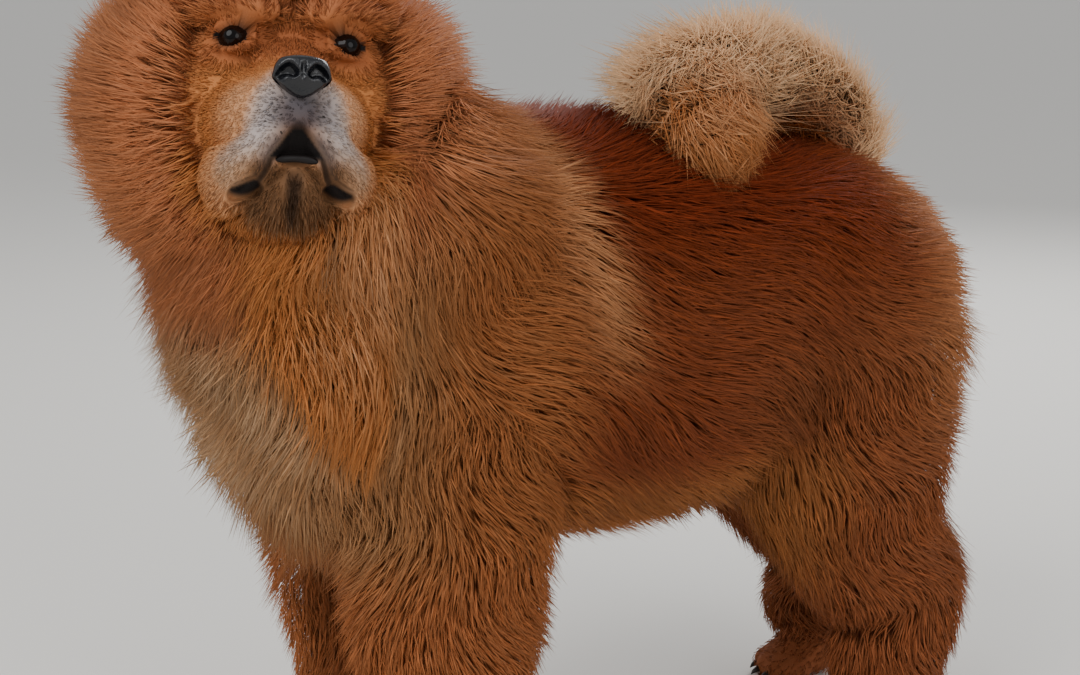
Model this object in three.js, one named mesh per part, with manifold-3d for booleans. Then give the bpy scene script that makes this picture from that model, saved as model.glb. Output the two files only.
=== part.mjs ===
// Chow chow, life size: a still museum model that stands square with its head turned to its left.
// Millimetres, +Z up. The dog faces -Y, its left side is +X and the floor is Z = 0.
import * as THREE from "three";
import { mergeVertices } from "three/addons/utils/BufferGeometryUtils.js";
import Module from "manifold-3d";

const wasm = await Module();
wasm.setup();

// Driving dimensions of the bare animal, which stands 510 at the withers under its coat.
const HEAD_AT = [15, -247, 555];
const HEAD_YAW = 76;
const HEAD_PITCH = 13;
const HEAD_ROLL = 5;
const BALL_RADIUS = 152;
const FORE_STANCE = 84;
const HIND_STANCE = 84;
const FORE_Y = -146;
const HIND_Y = 264;
const FAR_HIND_BACK = 50;
const PAW_TOP = 62;

// Coat: how deep it stands off the skin, and how much of that the solid core takes under the locks.
const COAT_BACK = 50;
const COAT_SIDE = 62;
const COAT_BELLY = 48;
const COAT_LEG = 36;
const CORE_REACH = 0.5;
const GAP = 0.3;
const SEED = 20;

const rad = THREE.MathUtils.degToRad;
const vec = (p) => new THREE.Vector3(...p);
const mix = THREE.MathUtils.lerp;

// Random draws that come out the same each time.
function drawsFrom(seed) {
  let state = seed;
  return (low, high) => {
    state = (state * 1664525 + 1013904223) % 4294967296;
    return mix(low, high, state / 4294967296);
  };
}

// A closed three.js geometry as a solid, facing out.
function solidOf(geometry, joint = 1e-3) {
  const bare = geometry.index ? geometry.toNonIndexed() : geometry.clone();
  bare.deleteAttribute("normal");
  bare.deleteAttribute("uv");
  const merged = mergeVertices(bare, joint);
  const places = merged.attributes.position.array;
  const turns = [];
  let volume = 0;
  const [a, b, c] = [new THREE.Vector3(), new THREE.Vector3(), new THREE.Vector3()];
  for (let i = 0; i < merged.index.count; i += 3) {
    const [i0, i1, i2] = [0, 1, 2].map((k) => merged.index.getX(i + k));
    if (i0 === i1 || i1 === i2 || i0 === i2) continue;
    turns.push([i0, i1, i2]);
    a.fromArray(places, 3 * i0);
    b.fromArray(places, 3 * i1);
    c.fromArray(places, 3 * i2);
    volume += a.dot(b.cross(c));
  }
  const triVerts = new Uint32Array(turns.flatMap((t) => (volume < 0 ? [t[0], t[2], t[1]] : t)));
  return new wasm.Manifold(new wasm.Mesh({ numProp: 3, vertProperties: places, triVerts }));
}

const join = (solids) => wasm.Manifold.union(solids);

// What is left of a solid once its loose scraps are dropped and its sealed hollows filled.
function largest(solid) {
  const pieces = solid.decompose();
  return pieces.reduce((best, piece) => (piece.volume() > best.volume() ? piece : best));
}

// A form is a closed skin round a curved spine. Each station holds its place on the spine (at), the bare skin's
// reach to the side, up and down, the coat's depth there (coat), and where the coat carries an end to (push).
class Form {
  constructor(stations, sideways = [1, 0, 0]) {
    this.last = stations.length - 1;
    const curve = (pick) => new THREE.CatmullRomCurve3(stations.map(pick), false, "centripetal");
    const straight = (pick) => stations.map(pick);
    this.spine = curve((s) => vec(s.at));
    this.skins = straight((s) => s.skin);
    this.coats = straight((s) => s.coat);
    this.pushes = straight((s) => s.push ?? [0, 0, 0]);
    this.sideways = vec(sideways).normalize();
  }

  // Smooth values between stations.
  between(rows, u) {
    const place = THREE.MathUtils.clamp(u, 0, 1) * this.last;
    const i = Math.min(Math.floor(place), this.last - 1);
    const t = place - i;
    const row = (k) => rows[THREE.MathUtils.clamp(k, 0, this.last)];
    return rows[i].map((_, axis) => {
      const [p0, p1, p2, p3] = [row(i - 1)[axis], row(i)[axis], row(i + 1)[axis], row(i + 2)[axis]];
      const [m1, m2] = [(p2 - p0) / 2, (p3 - p1) / 2];
      const [t2, t3] = [t * t, t * t * t];
      return (2 * t3 - 3 * t2 + 1) * p1 + (t3 - 2 * t2 + t) * m1 + (3 * t2 - 2 * t3) * p2 + (t3 - t2) * m2;
    });
  }

  // The point at share u of the spine and angle a round it, a share (reach) of the way from skin to coat tips.
  point(u, a, reach, grow = 0) {
    const tangent = this.spine.getTangent(THREE.MathUtils.clamp(u, 0.001, 0.999));
    const side = this.sideways.clone().addScaledVector(tangent, -this.sideways.dot(tangent)).normalize();
    const up = side.clone().cross(tangent).normalize();
    if (up.dot(this.upward ?? up) < 0) up.negate();
    const [skinSide, skinUp, skinDown] = this.between(this.skins, u);
    const [coatSide, coatUp, coatDown] = this.between(this.coats, u);
    const across = Math.max(0, skinSide + reach * coatSide) + grow;
    const high = Math.sin(a) > 0 ? skinUp + reach * coatUp : skinDown + reach * coatDown;
    const centre = this.spine.getPoint(THREE.MathUtils.clamp(u, 0, 1));
    centre.addScaledVector(vec(this.between(this.pushes, u)), reach);
    const closing = u <= 0 || u >= 1 ? 0 : 1;
    centre.addScaledVector(tangent, closing ? 0 : u <= 0 ? -grow : grow);
    return centre
      .addScaledVector(side, closing * across * Math.cos(a))
      .addScaledVector(up, closing * (Math.max(0, high) + grow) * Math.sin(a));
  }

  facing(upward) {
    this.upward = vec(upward);
    return this;
  }

  geometry(reach, round, along, grow = 0) {
    const sphere = new THREE.SphereGeometry(1, round, along);
    const place = sphere.attributes.position;
    for (let i = 0; i < place.count; i++) {
      const row = Math.floor(i / (round + 1));
      const turn = (i % (round + 1)) / round;
      const p = this.point(row / along, 2 * Math.PI * turn, reach, grow);
      place.setXYZ(i, p.x, p.y, p.z);
    }
    return sphere;
  }

  solid(reach, round, along, grow = 0) {
    return solidOf(this.geometry(reach, round, along, grow));
  }
}

// A flat tapered lock: it leaves the form's core at (u, a), runs along the lie and ends at the coat's tips.
const LOCK_RINGS = [
  { at: 0, reach: 0.2, wide: 0.85, thick: 1 },
  { at: 0.55, reach: 0.93, wide: 1, thick: 0.9 },
];
const LOCK_TIP = { at: 1, reach: 1.02 };

function lockOn(form, u, a, lie, size, grow = 0) {
  let [along, angle] = [u, a];
  const small = 1e-3;
  const stops = [...LOCK_RINGS, LOCK_TIP];
  const places = [];
  for (const [k, { at, reach }] of stops.entries()) {
    const here = form.point(along, angle, reach);
    const byU = form.point(along + small, angle, reach).sub(form.point(along - small, angle, reach));
    const byA = form.point(along, angle + small, reach).sub(form.point(along, angle - small, reach));
    byU.divideScalar(2 * small);
    byA.divideScalar(2 * small);
    const normal = byU.clone().cross(byA).normalize();
    if (normal.dot(here.clone().sub(form.spine.getPoint(along))) < 0) normal.negate();
    places.push({ here, normal });
    if (k === stops.length - 1) break;
    const way = lie(here, normal).clone();
    way.addScaledVector(normal, -way.dot(normal)).normalize();
    const [uu, aa, ua] = [byU.dot(byU), byA.dot(byA), byU.dot(byA)];
    const [wu, wa] = [way.dot(byU), way.dot(byA)];
    const step = (size.length * (stops[k + 1].at - at)) / (uu * aa - ua * ua);
    along = THREE.MathUtils.clamp(along + step * (wu * aa - wa * ua), 0.01, 0.985);
    angle += THREE.MathUtils.clamp(step * (wa * uu - wu * ua), -0.6, 0.6);
  }
  const rings = LOCK_RINGS.map((ring, k) => {
    const ahead = places[k + 1].here.clone().sub(places[k].here).normalize();
    const side = ahead.clone().cross(places[k].normal).normalize();
    const out = side.clone().cross(ahead).normalize();
    const half = (size.width / 2) * ring.wide + grow;
    const corner = (s, o) => places[k].here.clone().addScaledVector(side, s).addScaledVector(out, o);
    return [corner(half, -grow), corner(0, size.thick * ring.thick + grow), corner(-half, -grow)];
  });
  return taperedSolid(rings, places[LOCK_RINGS.length].here);
}

// Rings of three corners, closed by a flat root and a pointed tip. A three-sided cone gives the faces.
function taperedSolid(rings, tip) {
  const cone = new THREE.ConeGeometry(1, 1, 3, rings.length, false);
  const places = cone.attributes.position;
  const root = rings[0].reduce((sum, p) => sum.add(p), new THREE.Vector3()).divideScalar(3);
  for (let i = 0; i < places.count; i++) {
    const level = (places.getY(i) + 0.5) * rings.length;
    const row = Math.round(level);
    const around = Math.round((Math.atan2(places.getX(i), places.getZ(i)) / (2 * Math.PI)) * 3 + 3) % 3;
    const onAxis = Math.hypot(places.getX(i), places.getZ(i)) < 1e-6;
    const p = row >= rings.length ? tip : onAxis ? root : rings[row][around];
    places.setXYZ(i, p.x, p.y, p.z);
  }
  return solidOf(cone);
}

// Evenly spread roots on a form: rows along it, each turned by half a step from the last.
function rootsOn(form, { from, to, rows, spacing, angles = [0, 360], draw, reach = 0.5 }) {
  const roots = [];
  for (let r = 0; r < rows; r++) {
    const u = rows > 1 ? mix(from, to, r / (rows - 1)) : from;
    let girth = 0;
    const steps = 24;
    const angleAt = (k) => rad(mix(angles[0], angles[1], k / steps));
    for (let k = 0; k < steps; k++)
      girth += form.point(u, angleAt(k), reach).distanceTo(form.point(u, angleAt(k + 1), reach));
    const count = Math.max(3, Math.round(girth / spacing));
    for (let k = 0; k < count; k++) {
      const turn = (k + (r % 2) * 0.5 + draw(-0.14, 0.14)) / count;
      roots.push([u + draw(-0.1, 0.1) * ((to - from) / Math.max(1, rows)), rad(mix(angles[0], angles[1], turn))]);
    }
  }
  return roots;
}

function coatOf(form, plan, lie, size, grow = 0) {
  const draw = drawsFrom(plan.seed);
  const roots = rootsOn(form, { ...plan, draw });
  return roots
    .map(([u, a]) => {
      const root = form.point(u, a, 1);
      const scale = draw(0.88, 1.12);
      const own = { ...size, length: size.length * scale, width: size.width * draw(0.9, 1.1) };
      return plan.keep && !plan.keep(root) ? null : lockOn(form, u, a, lie, own, grow);
    })
    .filter(Boolean);
}

const torsoForm = new Form([
  { at: [0, -235, 368], skin: [0, 0, 0], coat: [0, 0, 0], push: [0, -112, -14] },
  { at: [0, -212, 374], skin: [76, 74, 80], coat: [68, 58, 82], push: [0, -76, -6] },
  { at: [0, -160, 384], skin: [106, 112, 112], coat: [70, 50, 56], push: [0, -20, 0] },
  { at: [0, -95, 384], skin: [121, 125, 128], coat: [66, COAT_BACK, COAT_BELLY] },
  { at: [0, -10, 386], skin: [126, 121, 128], coat: [COAT_SIDE, 48, 52] },
  { at: [0, 75, 392], skin: [121, 112, 121], coat: [COAT_SIDE, 46, 64] },
  { at: [0, 150, 402], skin: [112, 95, 106], coat: [64, 44, 74] },
  { at: [0, 212, 404], skin: [106, 76, 100], coat: [66, 40, 66], push: [0, 10, 0] },
  { at: [0, 252, 396], skin: [78, 52, 74], coat: [62, 34, 58], push: [0, 38, -12] },
  { at: [0, 272, 384], skin: [0, 0, 0], coat: [0, 0, 0], push: [0, 78, -24] },
]).facing([0, 0, 1]);

const neckForm = new Form([
  { at: [0, -95, 385], skin: [0, 0, 0], coat: [0, 0, 0], push: [0, 22, -10] },
  { at: [0, -112, 405], skin: [92, 84, 92], coat: [64, 60, 66] },
  { at: [0, -150, 442], skin: [100, 88, 98], coat: [78, 64, 92], push: [0, -6, 0] },
  { at: [4, -190, 486], skin: [86, 76, 84], coat: [80, 62, 96], push: [-4, -10, 0] },
  { at: [10, -218, 522], skin: [66, 62, 66], coat: [66, 58, 70] },
  { at: [13, -226, 545], skin: [0, 0, 0], coat: [0, 0, 0], push: [0, 10, 10] },
]).facing([0, 0.8, 0.6]);

const foreForm = (side) =>
  new Form([
    { at: [side * (FORE_STANCE - 16), FORE_Y + 6, 400], skin: [0, 0, 0], coat: [0, 0, 0], push: [0, 0, 10] },
    { at: [side * (FORE_STANCE - 10), FORE_Y + 4, 360], skin: [44, 52, 58], coat: [52, 40, 64] },
    { at: [side * FORE_STANCE, FORE_Y + 4, 290], skin: [42, 52, 50], coat: [42, 40, 76] },
    { at: [side * FORE_STANCE, FORE_Y + 4, 225], skin: [33, 40, 36], coat: [40, 42, 72] },
    { at: [side * FORE_STANCE, FORE_Y, 150], skin: [28, 31, 30], coat: [COAT_LEG, 42, 58] },
    { at: [side * FORE_STANCE, FORE_Y - 2, 90], skin: [28, 29, 29], coat: [28, 32, 38] },
    { at: [side * (FORE_STANCE + 1), FORE_Y - 8, 48], skin: [29, 30, 34], coat: [14, 14, 14] },
    { at: [side * (FORE_STANCE + 1), FORE_Y - 8, 30], skin: [0, 0, 0], coat: [0, 0, 0] },
  ]).facing([0, 1, 0]);

const hindForm = (side, back) =>
  new Form([
    { at: [side * (HIND_STANCE - 20), 165 + 0.3 * back, 425], skin: [0, 0, 0], coat: [0, 0, 0], push: [0, 0, 10] },
    { at: [side * (HIND_STANCE - 18), 172 + 0.4 * back, 385], skin: [96, 72, 90], coat: [8, 68, 0] },
    { at: [side * (HIND_STANCE - 8), 184 + 0.6 * back, 315], skin: [90, 82, 98], coat: [8, 84, 0] },
    { at: [side * HIND_STANCE, 206 + 0.9 * back, 245], skin: [72, 60, 90], coat: [8, 72, 0] },
    { at: [side * HIND_STANCE, 238 + back, 182], skin: [57, 42, 78], coat: [8, 46, 0] },
    { at: [side * HIND_STANCE, HIND_Y + 8 + back, 135], skin: [53, 38, 62], coat: [4, 32, 0] },
    { at: [side * HIND_STANCE, HIND_Y + back, 85], skin: [51, 55, 58], coat: [2, 4, 0] },
    { at: [side * HIND_STANCE, HIND_Y - 6 + back, 48], skin: [42, 43, 46], coat: [0, 0, 0] },
    { at: [side * HIND_STANCE, HIND_Y - 8 + back, 30], skin: [0, 0, 0], coat: [0, 0, 0] },
  ]).facing([0, 1, 0]);

const tailForm = new Form([
  { at: [0, 226, 458], skin: [0, 0, 0], coat: [0, 0, 0], push: [0, 10, -12] },
  { at: [1, 234, 484], skin: [22, 24, 24], coat: [34, 28, 30] },
  { at: [4, 234, 520], skin: [20, 22, 20], coat: [46, 30, 36], push: [0, 8, 0] },
  { at: [10, 200, 548], skin: [17, 18, 18], coat: [58, 34, 30], push: [0, 8, 4] },
  { at: [20, 150, 564], skin: [15, 16, 15], coat: [66, 38, 22], push: [0, 0, 4] },
  { at: [42, 98, 562], skin: [13, 13, 13], coat: [68, 40, 22], push: [0, -12, 4] },
  { at: [72, 72, 554], skin: [12, 12, 12], coat: [52, 36, 28], push: [2, -6, 0] },
  { at: [92, 68, 536], skin: [12, 12, 12], coat: [38, 32, 32], push: [4, 0, 0] },
  { at: [104, 70, 516], skin: [10, 10, 10], coat: [30, 26, 28], push: [6, 0, -4] },
  { at: [108, 74, 502], skin: [0, 0, 0], coat: [0, 0, 0], push: [6, 0, -16] },
], [1, 0.25, 0.2]).facing([0, 0.3, 1]);

// The head is modelled in its own frame, centred in the ruff: x to its left, y backwards and z up.
const headFrame = new THREE.Matrix4()
  .makeTranslation(...HEAD_AT)
  .multiply(new THREE.Matrix4().makeRotationZ(rad(HEAD_YAW)))
  .multiply(new THREE.Matrix4().makeRotationX(rad(-HEAD_PITCH)))
  .multiply(new THREE.Matrix4().makeRotationY(rad(HEAD_ROLL)));

const NO_COAT = [0, 0, 0];
const bare = (at, skin) => ({ at, skin, coat: NO_COAT });
const pole = (at) => bare(at, [0, 0, 0]);

const ballForm = new Form([
  { at: [0, -70, -8], skin: [0, 0, 0], coat: NO_COAT, push: [0, -6, 0] },
  { at: [0, -60, -8], skin: [54, 50, 58], coat: [6, 12, 8] },
  { at: [0, -38, -6], skin: [70, 64, 76], coat: [42, 40, 36] },
  { at: [0, -8, -4], skin: [78, 70, 84], coat: [66, 66, 60] },
  { at: [0, 30, -2], skin: [80, 72, 84], coat: [BALL_RADIUS - 80, 74, 66] },
  { at: [0, 66, -4], skin: [72, 66, 76], coat: [70, 68, 66] },
  { at: [0, 96, -8], skin: [50, 50, 56], coat: [60, 56, 60], push: [0, 10, 0] },
  { at: [0, 112, -8], skin: [0, 0, 0], coat: NO_COAT, push: [0, 44, 0] },
]).facing([0, 0, 1]);

const muzzleForm = new Form([
  pole([0, -36, -20]),
  bare([0, -52, -20], [60, 42, 48]),
  bare([0, -80, -22], [58, 38, 48]),
  bare([0, -108, -25], [50, 33, 40]),
  bare([0, -130, -28], [38, 27, 28]),
  pole([0, -141, -28]),
]).facing([0, 0, 1]);

// One padded upper lip, from under the nose to the corner of the mouth.
const lipForm = (side) =>
  new Form([
    pole([side * 6, -138, -34]),
    bare([side * 14, -132, -40], [13, 15, 13]),
    bare([side * 30, -120, -52], [17, 20, 17]),
    bare([side * 46, -96, -62], [17, 24, 17]),
    bare([side * 52, -72, -66], [16, 22, 16]),
    pole([side * 50, -50, -64]),
  ]).facing([0, 0, 1]);

const browForm = (side) =>
  new Form([
    pole([side * 8, -64, 54]),
    bare([side * 18, -66, 58], [13, 14, 12]),
    bare([side * 40, -62, 64], [13, 14, 12]),
    bare([side * 60, -48, 58], [11, 12, 11]),
    pole([side * 70, -36, 48]),
  ]).facing([0, 0, 1]);

const EYE = { at: [38, -56, 38], radius: 11.5 };
const lidForm = (side, rise, thick) =>
  new Form([
    pole([side * 23, -66, 35]),
    bare([side * 28, -67, 37 + rise * 0.5], [thick, thick, thick]),
    bare([side * 39, -66, 38 + rise], [thick, thick, thick]),
    bare([side * 49, -58, 38 + rise * 0.6], [thick, thick, thick]),
    pole([side * 54, -51, 36]),
  ]).facing([0, 0, 1]);

const noseForm = new Form([
  pole([0, -122, -2]),
  bare([0, -128, -2], [15, 13, 13]),
  bare([0, -138, -1], [18.5, 15, 15]),
  bare([0, -148, -1], [16, 13, 14]),
  pole([0, -153, -2]),
]).facing([0, 0, 1]);

const nostrilForm = (side) =>
  new Form([
    pole([side * 7.5, -158, -1]),
    bare([side * 7.5, -154, -1], [4.5, 5, 4.5]),
    bare([side * 8.5, -147, -1], [4.5, 4.5, 4]),
    pole([side * 9.5, -141, 0]),
  ]).facing([0, 0, 1]);

const jawForm = new Form([
  pole([0, -38, -74]),
  bare([0, -54, -76], [38, 20, 20]),
  bare([0, -84, -74], [33, 22, 20]),
  bare([0, -106, -66], [21, 18, 17]),
  bare([0, -118, -60], [11, 11, 11]),
  pole([0, -123, -57]),
]).facing([0, 0, 1]);

const earForm = (side) =>
  new Form(
    [
      pole([side * 54, 16, 74]),
      bare([side * 57, 14, 84], [32, 12, 12]),
      bare([side * 63, 9, 112], [30, 11, 10]),
      bare([side * 69, 2, 139], [23, 9, 8]),
      bare([side * 72, -4, 156], [13, 6, 6]),
      pole([side * 73, -6, 163]),
    ],
    [1, side * -0.25, 0],
  ).facing([0, 1, 0]);

const earCupForm = (side) =>
  new Form(
    [
      pole([side * 61, -6, 96]),
      bare([side * 63, -5, 106], [14, 7, 12]),
      bare([side * 67, -9, 130], [13, 8, 12]),
      bare([side * 70, -13, 144], [7, 5, 10]),
      pole([side * 71, -14, 152]),
    ],
    [1, side * -0.25, 0],
  ).facing([0, 1, 0]);

const LOCK_PLANS = {
  head: { from: 0.34, to: 0.68, rows: 3, spacing: 92, seed: SEED + 6 },
  neck: { from: 0.72, to: 0.44, rows: 2, spacing: 92, seed: SEED + 1 },
  torso: { from: 0.11, to: 0.86, rows: 5, spacing: 104, seed: SEED + 2 },
  tail: { from: 0.2, to: 0.74, rows: 5, spacing: 78, angles: [-20, 200], seed: SEED + 4 },
  hind: { from: 0.16, to: 0.5, rows: 3, spacing: 76, angles: [20, 160], seed: SEED + 4 },
};
const LOCK_SIZES = {
  head: { length: 118, width: 86, thick: 9 },
  neck: { length: 140, width: 90, thick: 9 },
  torso: { length: 150, width: 96, thick: 9 },
  tail: { length: 104, width: 74, thick: 8 },
  hind: { length: 120, width: 70, thick: 8 },
};

// The way the hair lies at a place, by region.
const LIES = {
  head: (p) => vec([p.x, 0, p.z]).normalize().add(vec([0, 0.55, 0])),
  neck: (p, n) => vec([0.2 * n.x, 0.55 + 0.5 * n.y, -0.8]),
  torso: () => vec([0, 0.8, -0.6]),
  tail: (p) => tailForm.spine.getTangent(nearestOn(tailForm, p)),
  hind: () => vec([0, 0.35, -1]),
};

function nearestOn(form, p) {
  const steps = 40;
  let best = 0;
  for (let k = 0; k <= steps; k++)
    if (form.spine.getPoint(k / steps).distanceTo(p) < form.spine.getPoint(best).distanceTo(p)) best = k / steps;
  return best;
}

// Where a cut pinches a surface until two of its corners touch, each is drawn a hair into the solid.
const HAIR = 0.004;
const PASSES = 3;
function unpinched(geometry) {
  geometry.computeVertexNormals();
  const [places, normals] = [geometry.attributes.position, geometry.attributes.normal];
  const meeting = new Map();
  for (let i = 0; i < places.count; i++) {
    const key = [0, 1, 2].map((k) => Math.round(places.getComponent(i, k) * 1000)).join();
    meeting.set(key, [...(meeting.get(key) ?? []), i]);
  }
  for (const corners of meeting.values())
    for (const i of corners.length > 1 ? corners : [])
      for (const k of [0, 1, 2])
        places.setComponent(i, k, places.getComponent(i, k) - HAIR * normals.getComponent(i, k));
  return geometry;
}

// A node's faces once its pinches are opened, which can loosen more scraps.
function soundGeometry(solid) {
  let whole = largest(solid);
  for (let pass = 0; pass < PASSES; pass++) whole = largest(solidOf(unpinched(geometryOf(whole)), HAIR / 20));
  return unpinched(geometryOf(whole));
}

const moved = (solid, matrix) => solidOf(geometryOf(solid).applyMatrix4(matrix));

function geometryOf(solid) {
  const mesh = solid.getMesh();
  const places = new Float32Array(mesh.numVert * 3);
  for (let i = 0; i < mesh.numVert; i++)
    for (let k = 0; k < 3; k++) places[3 * i + k] = mesh.vertProperties[mesh.numProp * i + k];
  return new THREE.BufferGeometry()
    .setAttribute("position", new THREE.BufferAttribute(places, 3))
    .setIndex(new THREE.BufferAttribute(new Uint32Array(mesh.triVerts), 1));
}

const locksOf = (form, name, grow = 0) => coatOf(form, LOCK_PLANS[name], LIES[name], LOCK_SIZES[name], grow);

const ball = (at, radius) =>
  solidOf(new THREE.SphereGeometry(radius, 10, 7).rotateX(Math.PI / 2).translate(...at));

// Head, in its own frame: skull and ruff, muzzle, lips, brows and lids, less the sockets of what is set in it.
function headParts() {
  const sides = [1, -1];
  const eyes = sides.map((s) => ball([s * EYE.at[0], EYE.at[1], EYE.at[2]], EYE.radius));
  const eyeSockets = sides.map((s) => ball([s * EYE.at[0], EYE.at[1], EYE.at[2]], EYE.radius + 2 * GAP));
  const ears = sides.map((s) => earForm(s).solid(0, 10, 7).subtract(earCupForm(s).solid(0, 8, 6)));
  const earSockets = sides.map((s) => earForm(s).solid(0, 10, 7, GAP));
  const nostrils = join(sides.map((s) => nostrilForm(s).solid(0, 8, 5)));
  const nose = noseForm.solid(0, 12, 7).subtract(nostrils);
  const noseSocket = noseForm.solid(0, 12, 7, GAP);
  const jaw = jawForm.solid(0, 12, 7);
  const jawSocket = jawForm.solid(0, 12, 7, 1.2);
  const face = join([
    muzzleForm.solid(0, 14, 8),
    ...sides.map((s) => lipForm(s).solid(0, 10, 7)),
    ...sides.map((s) => browForm(s).solid(0, 8, 6)),
    ...sides.flatMap((s) => [lidForm(s, 9, 4.6).solid(0, 5, 5), lidForm(s, -8, 4.2).solid(0, 5, 5)]),
  ]);
  const skull = join([ballForm.solid(CORE_REACH, 18, 11), ...locksOf(ballForm, "head")]);
  const cuts = join([...eyeSockets, ...earSockets, noseSocket, jawSocket]);
  return { head: join([face, skull]), cuts, eyes, ears, nose, jaw };
}

// A paw: pad, four toes and their claws, on a flat sole.
const PAW = { toe: 13, claw: 10 };
function pawAt(x, y) {
  const body = new Form([
    pole([x, y + 30, 22]),
    bare([x, y + 22, 24], [26, 26, 26]),
    bare([x, y, 26], [29, 30, 30]),
    bare([x, y - 24, 20], [30, 18, 22]),
    pole([x, y - 38, 12]),
  ]).facing([0, 0, 1]);
  const toes = [];
  for (const [k, spread] of [-1.5, -0.5, 0.5, 1.5].entries()) {
    const reach = k === 0 || k === 3 ? 0 : 9;
    const at = [x + spread * 15, y - 30 - reach, 11.5];
    const toe = new THREE.SphereGeometry(1, 6, 4).scale(PAW.toe * 0.78, PAW.toe * 1.25, PAW.toe).translate(...at);
    const claw = new THREE.ConeGeometry(3.6, PAW.claw, 3)
      .rotateX(Math.PI * 0.62)
      .translate(at[0], at[1] - PAW.toe * 1.25 - 2, 10);
    toes.push(solidOf(toe), solidOf(claw));
  }
  return join([body.solid(0, 10, 6), ...toes]);
}

// Half of all space beyond a plane, as a large block that stops half a gap short of it.
const FAR = 1600;
function beyond(at, normal, rim = GAP / 2) {
  const way = vec(normal).normalize();
  const turn = new THREE.Quaternion().setFromUnitVectors(new THREE.Vector3(0, 0, 1), way);
  const block = new THREE.BoxGeometry(FAR, FAR, FAR).translate(0, 0, FAR / 2 + rim);
  return solidOf(block.applyQuaternion(turn).translate(...at));
}

// Where the named parts meet.
const HEAD_CUT = { at: [12, -218, 500], normal: [-0.08, -0.5, 0.86] };
const NECK_CUT = { at: [0, -150, 455], normal: [0, -0.62, 0.78] };
const away = (n) => n.map((v) => -v);

const LEG_CUTS = {
  fore: { from: -250, to: -44, top: [0, -146, 268], lean: [-0.2, 0] },
  hind: { from: 92, to: 470, top: [0, 184, 318], lean: [-0.3, 0.3] },
};
const legs = [
  { name: "foreleg_left", kind: "fore", side: 1, back: 0 },
  { name: "foreleg_right", kind: "fore", side: -1, back: 0 },
  { name: "hindleg_left", kind: "hind", side: 1, back: 0 },
  { name: "hindleg_right", kind: "hind", side: -1, back: FAR_HIND_BACK },
];

// The room that a leg takes from the whole, a rim inside its planes: its own side of the body, a stretch of the
// length, and all that lies under a plane that rises outwards.
function legRoom(leg, rim) {
  const { from, to, top, lean } = LEG_CUTS[leg.kind];
  const slab = new THREE.BoxGeometry(FAR, to - from - 2 * rim, FAR);
  slab.translate(leg.side * (FAR / 2 + rim), (from + to) / 2, 0);
  return solidOf(slab).intersect(beyond(top, [-leg.side * lean[0], lean[1], -1], rim));
}

function wholeDog() {
  const { head, cuts, eyes, ears, nose, jaw } = headParts();
  const forelegs = legs.filter((leg) => leg.kind === "fore").map((leg) => foreForm(leg.side));
  const hindlegs = legs.filter((leg) => leg.kind === "hind").map((leg) => hindForm(leg.side, leg.back));
  const paws = legs.map((leg) => {
    const y = leg.kind === "fore" ? FORE_Y : HIND_Y + leg.back;
    return pawAt(leg.side * (leg.kind === "fore" ? FORE_STANCE + 1 : HIND_STANCE), y - 8);
  });
  const flesh = join([
    torsoForm.solid(CORE_REACH, 18, 13),
    ...locksOf(torsoForm, "torso"),
    neckForm.solid(CORE_REACH, 16, 8),
    ...locksOf(neckForm, "neck"),
    ...forelegs.map((form) => form.solid(1, 10, 10)),
    ...hindlegs.map((form) => form.solid(CORE_REACH, 10, 10)),
    ...hindlegs.flatMap((form) => locksOf(form, "hind")),
    ...paws,
  ]);
  const tailWith = (grow) => join([tailForm.solid(CORE_REACH, 10, 14, grow), ...locksOf(tailForm, "tail", grow)]);
  const body = join([flesh, moved(head, headFrame)])
    .subtract(tailWith(GAP))
    .subtract(moved(cuts, headFrame))
    .intersect(beyond([0, 0, 0], [0, 0, 1], 0));
  const nodes = {
    head: body.intersect(beyond(HEAD_CUT.at, HEAD_CUT.normal)),
    jaw: moved(jaw, headFrame),
    nose: moved(nose, headFrame),
    tail: tailWith(0),
  };
  ["left", "right"].forEach((side, i) => {
    nodes["eye_" + side] = moved(eyes[i], headFrame);
    nodes["ear_" + side] = moved(ears[i], headFrame);
  });
  const below = body.intersect(beyond(HEAD_CUT.at, away(HEAD_CUT.normal)));
  nodes.neck = below.intersect(beyond(NECK_CUT.at, NECK_CUT.normal));
  let torso = below.intersect(beyond(NECK_CUT.at, away(NECK_CUT.normal)));
  for (const leg of legs) {
    const limb = torso.intersect(legRoom(leg, GAP / 2));
    torso = torso.subtract(legRoom(leg, -GAP / 2));
    nodes[leg.name] = limb.intersect(beyond([0, 0, PAW_TOP], [0, 0, 1]));
    nodes[leg.name.replace("leg", "paw")] = limb.intersect(beyond([0, 0, PAW_TOP], [0, 0, -1]));
  }
  nodes.torso = torso;
  return nodes;
}

const COLOURS = {
  head: "#a85a2c",
  neck: "#b06a3c",
  torso: "#8f4320",
  tail: "#d39a62",
  leg: "#a65a2e",
  paw: "#a9683a",
  ear: "#8a4524",
  jaw: "#8c6a4a",
  nose: "#17181c",
  eye: "#120c0a",
};

const dog = new THREE.Group();
dog.name = "chow_chow";
for (const [name, solid] of Object.entries(wholeDog())) {
  const kind = Object.keys(COLOURS).find((key) => name.includes(key));
  const wet = kind === "nose" || kind === "eye";
  const material = new THREE.MeshStandardMaterial({
    color: COLOURS[kind],
    roughness: wet ? 0.25 : 0.9,
    metalness: 0,
    flatShading: true,
  });
  const mesh = new THREE.Mesh(soundGeometry(solid), material);
  mesh.name = name;
  dog.add(mesh);
}

// The origin is on the floor, in the middle of the length and width.
const centre = new THREE.Box3().setFromObject(dog).getCenter(new THREE.Vector3());
for (const mesh of dog.children) mesh.geometry.translate(-centre.x, -centre.y, 0);

export default dog;
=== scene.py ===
"""Chow chow, life size: a red dog in full coat that stands square, its head turned to its left."""
import math

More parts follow.
